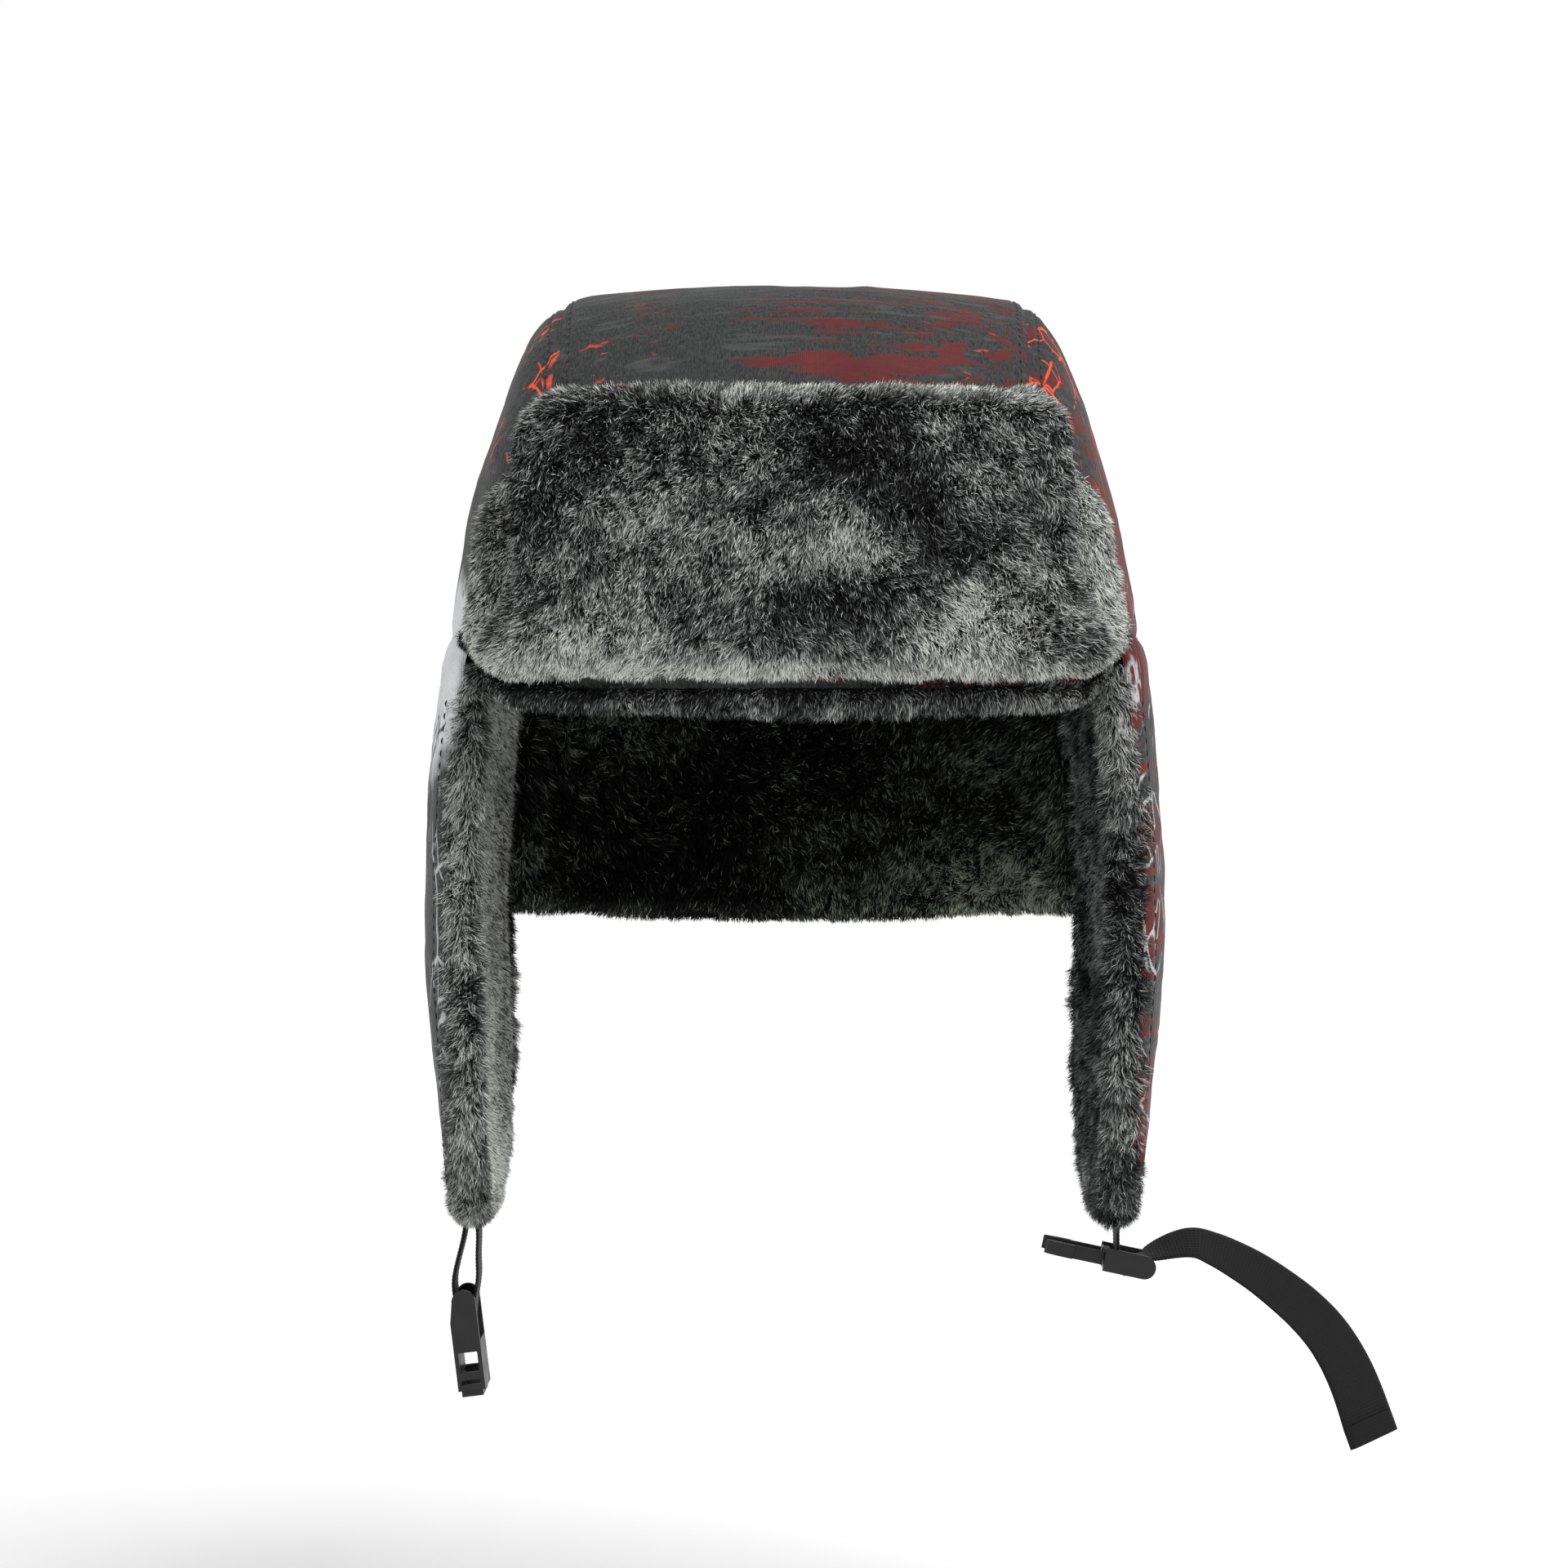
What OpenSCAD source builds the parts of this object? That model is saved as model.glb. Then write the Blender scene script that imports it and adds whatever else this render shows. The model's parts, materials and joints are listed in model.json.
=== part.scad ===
// Trapper hat: a panelled crown, a fold-down front flap, two ear flaps, a neck flap
// and a chin strap with a side-release buckle. Millimetres, +Z up, the wearer faces -Y.
// The origin is the centre of the head opening at brow level. "left" is the -X side.

/* [Crown] */
// Half-width of the crown at brow level
crown_half_w = 115.5; // [108:0.5:122]
// Half-depth of the crown at the centre line
crown_half_d = 104; // [98:0.5:112]
// Height of the crown above the brow
crown_h = 131; // [120:1:145]
// Half-width of the top panel, which is where its two seams lie
seam_half_w = 75; // [70:0.5:80]
// Thickness of the bonded outer fabric
fabric_t = 1.2; // [0.8:0.1:2]
// Thickness of the wadding in the crown
crown_wadding_t = 6.4; // [4:0.2:8]
// Thickness of the quilted lining
lining_t = 1.4; // [0.8:0.1:2]
// Height of the sweatband inside the brow
sweatband_h = 27; // [20:1:35]
// Depth of the fur band under the brow
brow_fur_h = 9; // [6:0.5:12]

/* [Front flap] */
// Height of the front flap above its fold
front_flap_h = 93; // [80:1:98]
// Thickness of the flap's fur
front_fur_t = 12; // [8:0.5:14]

/* [Ear and neck flaps] */
// Height of the fold line of the ear and neck flaps
fold_z = 18; // [12:1:24]
// Level of the bottom of the ear flaps
ear_bottom_z = -169; // [-180:1:-150]
// Level of the bottom of the neck flap
neck_bottom_z = -77; // [-90:1:-60]
// Thickness of the flaps' wadding
flap_wadding_t = 3.7; // [2:0.1:5]
// Thickness of the flaps' fur
flap_fur_t = 11; // [8:0.5:16]

/* [Chin strap] */
// Width of the webbing
webbing_w = 20; // [18:0.5:20.4]
// Thickness of the webbing
webbing_t = 1.3; // [1:0.1:1.5]
// Front-to-back place of the strap, at the middle of the ear flaps' bottoms
strap_y = -4; // [-10:1:4]
// Outside width of both buckle halves
buckle_w = 26; // [25.5:0.5:28]
// Tilt of the hanging buckle socket from upright
socket_tilt = 7; // [0:1:12]
// Slope of the plug above the horizontal
plug_tilt = 12; // [5:1:15]

/* [Hidden] */
$fn = 48;

layer_gap = 0.2;                 // air between two layers of one body
loose_gap = 0.5;                 // air between two layers whose facets don't line up
body_gap = 2.5;                  // air between a flap and the crown it hangs from
dome = 3.2;                      // exponent of the crown's side profile: 2 is round, more is boxy
seam_half_d = crown_half_d - 12; // half-depth of the crown along a top seam
seam_h = crown_h - 4;            // height of the crown along a top seam
seam_top = 2;                    // the side panels stop this far below the seam's top
phi_seam = 72;                   // the side arc runs from -phi_seam, front, to +phi_seam, back
phi_ear_front = -40.4;           // front edge of an ear flap along the side arc
phi_ear_rear = 46;               // rear edge of an ear flap along the side arc
phi_neck = 47.2;                 // where the neck flap starts along the side arc
phi_flap_end = -54;              // where the front flap ends along the side arc
phi_brow_end = -43.2;            // where the brow fur band ends along the side arc
wadding_in = fabric_t + layer_gap;
lining_in = wadding_in + crown_wadding_t + layer_gap;
band_in = lining_in + lining_t + loose_gap;
band_t = 1.4;
flap_wad_in = fabric_t + loose_gap;
anchor_in = flap_wad_in + flap_wadding_t + 0.4;
flap_fur_in = anchor_in + webbing_t + 0.5;
flap_top_z = fold_z - body_gap;
front_gap = 2.2;                 // air between the crown and the folded-up front flap
front_wad_t = 3.4;
stud_z = 84;                     // height of the press stud on the crown
stud_r = 5.5;

// ---- The outline in plan: front strip, side arcs, back strip ----
// A station is [kind, value, side]: kind 0 is the front strip and 2 the back strip, with
// value -1 to 1 across it; kind 1 is a side arc, with value its angle and side -1 or 1.

function clamp(x, lo, hi) = min(max(x, lo), hi);
function blend01(x) = clamp(x, 0, 1) * clamp(x, 0, 1) * (3 - 2 * clamp(x, 0, 1));
function dome_in(r) = pow(1 - pow(clamp(r, 0, 0.9999), dome), 1 / dome);

// Half-width of the outside at height z: the crown leans in, the flaps hang with a slight belly
function half_w(z) = z >= 0
    ? crown_half_w - 24 * (z / seam_h) - 14 * pow(z / seam_h, 3.5)
    : crown_half_w + 5.2 * sin(-z * 1.25);

// Lower edge of the crown: level with the brow in front, up to the fold line at the ear flaps
function crown_edge_z(st) =
    st[0] == 0 ? 0 :
    st[0] == 2 ? fold_z :
    fold_z * blend01((st[1] + 64) / 18);

// Point on the wall at a station and height, off millimetres inside the outer surface
function wall(st, z, off) =
    let(
        seam_x = seam_half_w - 0.6 * off,
        ys = (seam_half_d - off) * dome_in(z / (seam_h - off)),
        yc = (crown_half_d - off) * dome_in(z / (crown_h - off)),
        zr = z * seam_h / (seam_h - off),
        up = clamp(z / seam_h, 0, 1),
        bulge = half_w(zr > 0 ? zr : z) - off * (1 - 0.4 * pow(up, 3)) - seam_x,
        out = 1 - pow(abs(st[1]) / phi_seam, 3)
    )
    st[0] == 1
        ? [st[2] * (seam_x + bulge * out), ys * sin(st[1]) / sin(phi_seam), z]
        : [seam_x * st[1], (st[0] == 0 ? -1 : 1) * (yc + (ys - yc) * st[1] * st[1]), z];

// Point on the top panel: angle a from -90 at the front edge to 90 at the back, t across it
function top_pt(a, t, off) =
    let(
        s = sign(sin(a)) * pow(abs(sin(a)), 2 / dome),
        c = pow(abs(cos(a)), 2 / dome),
        yc = (crown_half_d - off) * s,
        ys = (seam_half_d - off) * s,
        zc = (crown_h - off) * c,
        zs = (seam_h - off) * c
    )
    [(seam_half_w - 0.6 * off) * t, yc + (ys - yc) * t * t, zc + (zs - zc) * t * t];

// Angle at which the top panel comes down to height z behind
function back_angle(z) = acos(pow(z / crown_h, dome / 2));

// ---- Solids from grids of points ----

// Closed solid between two grids of the same size; flip turns its faces round
module grid_solid(outer, inner, flip = false) {
    nr = len(outer);
    nc = len(outer[0]);
    n = nr * nc;
    pts = [for (row = outer) for (p = row) p, for (row = inner) for (p = row) p];
    quads = [
        for (i = [0 : nr - 2]) for (j = [0 : nc - 2])
            let(a = i * nc + j) each [
                [a, a + 1, a + nc + 1, a + nc],
                [n + a, n + a + nc, n + a + nc + 1, n + a + 1]
            ],
        for (j = [0 : nc - 2]) let(b = (nr - 1) * nc + j) each [
            [j, n + j, n + j + 1, j + 1],
            [b, b + 1, n + b + 1, n + b]
        ],
        for (i = [0 : nr - 2]) let(a = i * nc, b = i * nc + nc - 1) each [
            [a, a + nc, n + a + nc, n + a],
            [b, n + b, n + b + nc, b + nc]
        ]
    ];
    tris = [for (q = quads) each [[q[0], q[1], q[2]], [q[0], q[2], q[3]]]];
    polyhedron(pts, flip ? [for (f = tris) [f[2], f[1], f[0]]] : tris, convexity = 6);
}

// Layer of a panel that hangs on the wall: columns are stations, rows are heights at each station
module wall_layer(stations, heights, off, t, flip = false) {
    outer = [for (i = [0 : len(heights[0]) - 1])
        [for (j = [0 : len(stations) - 1]) wall(stations[j], heights[j][i], off)]];
    inner = [for (i = [0 : len(heights[0]) - 1])
        [for (j = [0 : len(stations) - 1]) wall(stations[j], heights[j][i], off + t)]];
    grid_solid(outer, inner, flip);
}

// Solid swept along rings of points, all of one count
module ring_solid(rings) {
    nr = len(rings);
    nc = len(rings[0]);
    side = [for (i = [0 : nr - 2]) for (j = [0 : nc - 1])
        let(k = (j + 1) % nc, a = i * nc + j, b = i * nc + k) each
        [[a, a + nc, b + nc], [a, b + nc, b]]];
    first = [for (j = [1 : nc - 2]) [0, j, j + 1]];
    last = [for (j = [1 : nc - 2]) let(o = (nr - 1) * nc) [o, o + j + 1, o + j]];
    polyhedron([for (r = rings) for (p = r) p], concat(side, first, last), convexity = 6);
}

// ---- Crown ----

module top_layer(off, t) {
    rows = 18;
    cols = 6;
    a0 = -90;
    a1 = back_angle(fold_z);
    function at(i, j, o) = top_pt(a0 + (a1 - a0) * i / rows, -1 + 2 * j / cols, o);
    outer = [for (i = [0 : rows]) [for (j = [0 : cols]) at(i, j, off)]];
    inner = [for (i = [0 : rows]) [for (j = [0 : cols]) at(i, j, off + t)]];
    grid_solid(outer, inner, true);
}

module side_layer(side, off, t) {
    rows = 8;
    cols = 12;
    stations = [for (j = [0 : cols]) [1, phi_seam * (2 * j / cols - 1), side]];
    top = seam_h - seam_top - off - t;
    heights = [for (st = stations) let(z0 = crown_edge_z(st))
        [for (i = [0 : rows]) z0 + (top - z0) * sin(90 * i / rows)]];
    wall_layer(stations, heights, off + side_gap, t - side_gap, side > 0);
}
side_gap = 0.1; // keeps a side panel off the edge of the top panel

module crown_top_panel() {
    color("#2b1d20") top_layer(0, fabric_t);
}
module crown_side_panel(side) {
    color("#3a2a2c") translate([side * 0.3, 0, 0]) side_layer(side, 0, fabric_t);
}
module crown_wadding_top() {
    color("#e8e6df") top_layer(wadding_in, crown_wadding_t);
}
module crown_wadding_side(side) {
    color("#e8e6df") translate([side * 0.3, 0, 0]) side_layer(side, wadding_in, crown_wadding_t);
}
module crown_lining_top() {
    color("#24262a") top_layer(lining_in, lining_t);
}
module crown_lining_side(side) {
    color("#24262a") translate([side * 0.3, 0, 0]) side_layer(side, lining_in, lining_t);
}

// Runs once round inside the brow, with its join at the centre back
module sweatband() {
    cols = 12;
    join = 0.02;
    lift = 2.5;
    stations = [
        for (j = [0 : 3]) [2, join + (1 - join) * j / 4, 1],
        for (j = [0 : cols]) [1, phi_seam * (1 - 2 * j / cols), 1],
        for (j = [1 : 5]) [0, 1 - 2 * j / 6, 1],
        for (j = [0 : cols]) [1, phi_seam * (2 * j / cols - 1), -1],
        for (j = [1 : 4]) [2, -1 + (1 - join) * j / 4, 1]
    ];
    heights = [for (st = stations) let(z0 = crown_edge_z(st) + lift)
        [for (i = [0 : 2]) z0 + sweatband_h * i / 2]];
    color("#1b1c1e") wall_layer(stations, heights, band_in, band_t, true);
}

// Fur binding under the brow, from temple to temple
module brow_fur_band() {
    cols = 5;
    stations = [
        for (j = [0 : cols]) [1, phi_brow_end - (phi_brow_end + phi_seam) * j / cols, -1],
        for (j = [1 : 5]) [0, -1 + 2 * j / 6, 1],
        for (j = [0 : cols]) [1, -phi_seam + (phi_brow_end + phi_seam) * j / cols, 1]
    ];
    heights = [for (st = stations) let(z0 = crown_edge_z(st) - 0.5)
        [for (i = [0 : 2]) z0 - brow_fur_h * (1 - i / 2)]];
    color("#55585b") wall_layer(stations, heights, 0.3, 11.5, false);
}

// Topstitching thread laid along a top seam
module top_seam_thread(side) {
    rows = 24;
    sides = 6;
    r = 0.35;
    x = seam_half_w - 1.6;
    t = x / seam_half_w;
    a1 = back_angle(fold_z + 1);
    rings = [for (i = [0 : rows])
        let(
            a = -89.5 + (a1 + 89.5) * i / rows,
            p = top_pt(a, side * t, -r - 0.05),
            ahead = top_pt(a + 0.5, side * t, -r) - top_pt(a - 0.5, side * t, -r),
            up = [0, -ahead[2], ahead[1]] / norm([0, ahead[2], ahead[1]])
        )
        [for (k = [0 : sides - 1]) p + r * (up * sin(60 * k) + [1, 0, 0] * cos(60 * k))]];
    color("#101010") ring_solid(rings);
}

// Lean of the crown's front wall at height z, in degrees from upright
function front_lean(z) = atan((wall([0, 0, 1], z + 1, 0)[1] - wall([0, 0, 1], z - 1, 0)[1]) / 2);

// Frame on the crown's front wall at the press stud, with its Z axis pointing forward
module at_stud(off) {
    p = wall([0, 0, 1], stud_z, off);
    translate(p) rotate([90 - front_lean(stud_z), 0, 0]) children();
}

module crown_press_stud() {
    color("#8a8d90") at_stud(0) {
        cylinder(r = stud_r, h = 0.8);
        cylinder(r = 1.9, h = 2);
        translate([0, 0, -0.9]) cylinder(r = 1.5, h = 1);
    }
}

// ---- Front flap ----

// Share of the flap's half-width reached at height z, which rounds its corners
function flap_reach(z) =
    let(
        up = clamp((z - (front_flap_h - 43)) / 45, 0, 1),
        low = clamp((24 - z) / 22, 0, 1)
    )
    1 - 0.34 * pow(up, 1.9) - 0.26 * low * low;

// Share of the way from the centre to the flap's end at which the front strip turns the corner
flap_knee = 0.81;
// Station at a signed share of the way from the centre to the flap's end
function flap_station(s) =
    let(m = abs(s))
    m <= flap_knee
        ? [0, s / flap_knee, 1]
        : [1, -phi_seam + (phi_flap_end + phi_seam) * (m - flap_knee) / (1 - flap_knee), sign(s)];
// Share reached by column share f of a flap as wide as reach, with a column kept at the corner
function column_share(f, reach) =
    let(knee = min(flap_knee, 0.9 * reach), m = abs(f), turn = 5 / 7)
    m <= turn
        ? sign(f) * knee * m / turn
        : sign(f) * (knee + (reach - knee) * (m - turn) / (1 - turn));

module front_layer(off, t, trim = 0) {
    rows = 10;
    cols = 14;
    z0 = 2 + trim;
    z1 = 2 + front_flap_h - trim;
    function at(i, j, o) =
        let(
            z = z0 + (z1 - z0) * i / rows,
            s = column_share(-1 + 2 * j / cols, flap_reach(z) - trim / 100)
        )
        wall(flap_station(s), z, o);
    outer = [for (i = [0 : rows]) [for (j = [0 : cols]) at(i, j, -off - t)]];
    inner = [for (i = [0 : rows]) [for (j = [0 : cols]) at(i, j, -off)]];
    grid_solid(outer, inner, false);
}

front_wad_off = front_gap + fabric_t + loose_gap;
front_fur_off = front_wad_off + front_wad_t + loose_gap;

module front_flap_facing() {
    color("#2b1d20") front_layer(front_gap, fabric_t);
}
module front_flap_wadding() {
    color("#e8e6df") front_layer(front_wad_off, front_wad_t, 4);
}
module front_flap_fur() {
    color("#5f6365") front_layer(front_fur_off, front_fur_t);
}
module front_flap_stud_socket() {
    color("#8a8d90") at_stud(0) translate([0, 0, 1.1]) difference() {
        cylinder(r = stud_r, h = 1.4);
        translate([0, 0, -1]) cylinder(r = 2.25, h = 2.1);
    }
}

// ---- Ear flaps ----

// Front and rear edges of an ear flap at height z, as angles along the side arc
ear_mid_phi = -4;
function ear_phi_front(z) =
    let(k = clamp((-z - 104) / (-ear_bottom_z - 103), 0, 0.999))
    ear_mid_phi + (phi_ear_front - ear_mid_phi) * sqrt(1 - k * k);
function ear_phi_rear(z) =
    let(k = clamp((neck_bottom_z - z) / (neck_bottom_z - ear_bottom_z + 1), 0, 0.999))
    ear_mid_phi + (phi_ear_rear - ear_mid_phi) * sqrt(1 - k * k);

module ear_layer(side, off, t, trim = 0) {
    rows = 10;
    cols = 8;
    z0 = ear_bottom_z + trim;
    z1 = flap_top_z - trim;
    function at(i, j, o) =
        let(
            z = z0 + (z1 - z0) * (1 - cos(90 * i / rows)),
            a = ear_phi_front(z) + trim * 0.6,
            b = ear_phi_rear(z) - trim * 0.6
        )
        wall([1, a + (b - a) * j / cols, side], z, o);
    outer = [for (i = [0 : rows]) [for (j = [0 : cols]) at(i, j, off)]];
    inner = [for (i = [0 : rows]) [for (j = [0 : cols]) at(i, j, off + t)]];
    grid_solid(outer, inner, side > 0);
}

module ear_flap_shell(side) {
    color("#3a2a2c") ear_layer(side, 0, fabric_t);
}
module ear_flap_wadding(side) {
    color("#e8e6df") ear_layer(side, flap_wad_in, flap_wadding_t, 4);
}
module ear_flap_fur(side) {
    color("#5f6365") ear_layer(side, flap_fur_in, flap_fur_t);
}

// Sewn-in end of the webbing, between the wadding and the fur
anchor_x = wall([1, 0, 1], ear_bottom_z, anchor_in + webbing_t / 2)[0];
anchor_h = 18;
// Angle along the side arc of a place y on a layer of the hanging flap
function phi_at(y, off) = asin(y * sin(phi_seam) / (seam_half_d - off));
module strap_anchor(side) {
    cols = 2;
    rows = 3;
    a = phi_at(strap_y - webbing_w / 2, anchor_in);
    b = phi_at(strap_y + webbing_w / 2, anchor_in);
    stations = [for (j = [0 : cols]) [1, a + (b - a) * j / cols, side]];
    heights = [for (st = stations) [for (i = [0 : rows]) ear_bottom_z + anchor_h * i / rows]];
    color("#141414") wall_layer(stations, heights, anchor_in, webbing_t, side > 0);
}

// ---- Neck flap ----

module neck_layer(off, t, trim = 0) {
    rows = 5;
    cols = 5;
    phi0 = phi_neck + trim * 0.6;
    stations = [
        for (j = [0 : cols - 1]) [1, phi0 + (phi_seam - phi0) * j / cols, -1],
        for (j = [0 : 6]) [2, -1 + 2 * j / 6, 1],
        for (j = [1 : cols]) [1, phi_seam - (phi_seam - phi0) * j / cols, 1]
    ];
    heights = [for (st = stations)
        let(
            z0 = neck_bottom_z + trim + (st[0] == 2 ? 3 * st[1] * st[1] : 4),
            z1 = flap_top_z - trim
        )
        [for (i = [0 : rows]) z0 + (z1 - z0) * i / rows]];
    wall_layer(stations, heights, off, t, true);
}

module neck_flap_shell() {
    color("#2b1d20") neck_layer(0, fabric_t);
}
module neck_flap_wadding() {
    color("#e8e6df") neck_layer(flap_wad_in, flap_wadding_t, 4);
}
module neck_flap_fur() {
    color("#1d2020") neck_layer(anchor_in, flap_fur_t);
}

// ---- Webbing ----

// Flat band of webbing seen edge-on along Y: a strip of thickness webbing_t along pts, in X and Z
module edge_band(pts) {
    n = len(pts);
    dirs = [for (i = [0 : n - 1])
        let(d = pts[min(i + 1, n - 1)] - pts[max(i - 1, 0)]) d / norm(d)];
    left = [for (i = [0 : n - 1]) pts[i] + [-dirs[i][1], dirs[i][0]] * webbing_t / 2];
    right = [for (i = [n - 1 : -1 : 0]) pts[i] - [-dirs[i][1], dirs[i][0]] * webbing_t / 2];
    translate([0, strap_y + webbing_w / 2, 0]) rotate([90, 0, 0])
        linear_extrude(webbing_w) polygon(concat(left, right));
}

// Left loop: down from the flap, round the socket's bar and back up
bar_r = 1.8;
socket_x = -108.2;
socket_z = -205;
wrap_r = bar_r + 0.25 + webbing_t / 2;
strap_top_z = ear_bottom_z - 1;
module webbing_loop_left() {
    bar = [socket_x, socket_z];
    top = [-anchor_x, strap_top_z];
    arc = [for (k = [0 : 8]) bar + wrap_r * [cos(180 + 22.5 * k), sin(180 + 22.5 * k)]];
    pts = concat(
        [top + [-0.75, 0], top + [-2.4, -9], bar + [-3.5, 13], bar + [-3, 5]],
        arc,
        [bar + [3.2, 5], bar + [4.3, 13], bar + [4.2, 20], top + [2.4, -6], top + [0.75, 0]]
    );
    color("#141414") edge_band(pts);
}

// ---- Buckle socket: the female half, hanging on the loop by its bar ----

socket_t = 9;      // thickness
socket_low = -25.5; // its mouth, below the bar
socket_lip = -7.5; // top of its sleeve, below the bar
cheek_t = 2.4;
cavity_w = buckle_w - 2 * cheek_t;

module socket_place() {
    translate([socket_x, strap_y, socket_z]) rotate([0, -socket_tilt, 0]) children();
}
module along_y(r, w) {
    rotate([90, 0, 0]) cylinder(r = r, h = w, center = true);
}
// Side cheek with a round top, extruded along Y
module cheek(side) {
    translate([0, side * (buckle_w - cheek_t) / 2 + cheek_t / 2, 0]) rotate([90, 0, 0])
        linear_extrude(cheek_t) union() {
            translate([0.6, 5.5]) circle(r = 3.9);
            polygon([[-4.5, -8], [4.5, -8], [4.5, 5.5], [-3.3, 5.5], [-4.5, -1]]);
        }
}
module buckle_socket() {
    r = socket_t / 2;
    color("#1a1b1c") socket_place() difference() {
        union() {
            translate([-r, -buckle_w / 2, socket_low + 2])
                cube([socket_t, buckle_w, socket_lip - socket_low - 2]);
            translate([-r + 1, -buckle_w / 2 + 1, socket_low])
                cube([socket_t - 2, buckle_w - 2, 3]);
            cheek(-1);
            cheek(1);
            along_y(bar_r, buckle_w - 1);
        }
        // socket for the plug
        translate([-2.8, -cavity_w / 2, socket_low - 1]) cube([5.6, cavity_w, 16.5]);
        // release windows through both cheeks
        translate([-3.1, -buckle_w, -17.5]) cube([6.2, 2 * buckle_w, 6.5]);
        // grip slot through both cheeks
        translate([-3.1, -buckle_w, -21.6]) cube([6.2, 2 * buckle_w, 1.6]);
    }
}

// ---- Buckle plug: the male half with its ladder, on the right ----

plug_x = 109.3;    // middle of the ladder's centre bar
plug_z = -187;
ladder_bar_r = 1.6;
end_bar_r = 2;
end_bar_a = -6.3;  // end bar, along the plug from the centre bar
rail_t = 2.4;
plate_a = 5.6;     // near face of the plate that carries the prongs
plate_t = 2;
prong_root = plate_a + plate_t + 0.3;
bar_drop = 1.3;    // the centre bar sits this far under the frame's middle

// Plug frame: X runs from the ladder to the prong tips, Y is the width, Z points down
module plug_place() {
    translate([plug_x, strap_y, plug_z]) rotate([0, 180 + plug_tilt, 0]) children();
}
module rail(side) {
    translate([0, side * (buckle_w - rail_t) / 2 + rail_t / 2, 0]) rotate([90, 0, 0])
        linear_extrude(rail_t) union() {
            translate([-5.7, 0]) circle(r = 3.8);
            translate([-5.7, -3.8]) square([plate_a + plate_t + 5.7, 7.6]);
        }
}
module buckle_plug_frame() {
    color("#1a1b1c") plug_place() {
        rail(-1);
        rail(1);
        translate([0, 0, bar_drop]) along_y(ladder_bar_r, buckle_w - 1);
        translate([end_bar_a, 0, 0]) along_y(end_bar_r, buckle_w - 1);
        translate([plate_a, -buckle_w / 2, -3]) cube([plate_t, buckle_w, 6]);
        translate([plate_a + 1, -2.2, -1.3]) cube([18, 4.4, 2.6]);
    }
}
// Flexing arm with its catch; side -1 is the front one
module prong(side) {
    h = 4.4;
    pts = [
        [prong_root, 6.8], [26.5, 6.8], [27.3, 8], [26.5, 9.8], [22.5, 11.6],
        [18, 11.9], [18, 9.6], [prong_root, 9.6]
    ];
    translate([0, 0, -h / 2]) linear_extrude(h) polygon([for (p = pts) [p[0], side * p[1]]]);
}
module plug_prong_front() {
    color("#1a1b1c") plug_place() prong(-1);
}
module plug_prong_rear() {
    color("#1a1b1c") plug_place() prong(1);
}

// Point in X and Z of a place on the plug
function plug_pt(a, c) = [
    plug_x + a * cos(180 + plug_tilt) + c * sin(180 + plug_tilt),
    plug_z - a * sin(180 + plug_tilt) + c * cos(180 + plug_tilt)
];

// Right webbing: down from the flap and under the ladder's centre bar
drop_wrap_r = ladder_bar_r + 0.25 + webbing_t / 2;
module webbing_drop_right() {
    bar = plug_pt(0, bar_drop);
    top = [anchor_x, strap_top_z];
    arc = [for (k = [0 : 6]) bar + drop_wrap_r * [cos(180 + 22.5 * k), sin(180 + 22.5 * k)]];
    color("#141414") edge_band(concat([top, [bar[0] - drop_wrap_r, bar[1] + 6]], arc));
}

// ---- Free tail of the webbing ----

// Middle line of the tail in X and Z after it leaves the end bar
tail_route = [
    [125.5, -182], [132.5, -181.2], [139, -183.4], [145.5, -186.6], [153, -191], [160.5, -196.4],
    [168, -202.6], [174.7, -209.6], [179.6, -216.6], [183.5, -224], [186.6, -231.6], [189.6, -240.4]
];
tail_wrap_r = end_bar_r + 0.25 + webbing_t / 2;
tail_bar = plug_pt(end_bar_a, 0);
wrap_steps = 5;
tail_pts = concat(
    [for (k = [0 : wrap_steps]) let(a = 213 - 24 * k) tail_bar + tail_wrap_r * [cos(a), sin(a)]],
    tail_route
);
hem_len = 6;
tail_end = [192, -247];

// Roll of the webbing about its own line at point i: flat on the bar, then growing to its end
end_roll = 62;
function tail_roll(i) = end_roll * sqrt(max(i - wrap_steps, 0) / len(tail_route));

// Rings of a band of thickness t along pts; the front edge rolls towards the inside of the bend
function band_rings(pts, rolls, t) = [for (i = [0 : len(pts) - 1])
    let(
        d = pts[min(i + 1, len(pts) - 1)] - pts[max(i - 1, 0)],
        u = d / norm(d),
        inward = [u[1], 0, -u[0]],
        w = [0, -1, 0] * cos(rolls[i]) + inward * sin(rolls[i]),
        thick = cross([u[0], 0, u[1]], w),
        p = [pts[i][0], strap_y, pts[i][1]]
    )
    [for (c = [[-1, -1], [-1, 1], [1, 1], [1, -1]])
        p + w * (c[0] * webbing_w / 2) + thick * (c[1] * t / 2)]];

module strap_tail() {
    n = len(tail_pts);
    rolls = [for (i = [0 : n - 1]) tail_roll(i)];
    color("#141414") ring_solid(band_rings(tail_pts, rolls, webbing_t));
}
// The end, turned over twice and sewn
module strap_tail_hem() {
    from = tail_pts[len(tail_pts) - 1];
    u = (tail_end - from) / norm(tail_end - from);
    color("#141414") ring_solid(band_rings([from + u * 0.1, from + u * hem_len], [end_roll, end_roll], 3.2));
}

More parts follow.
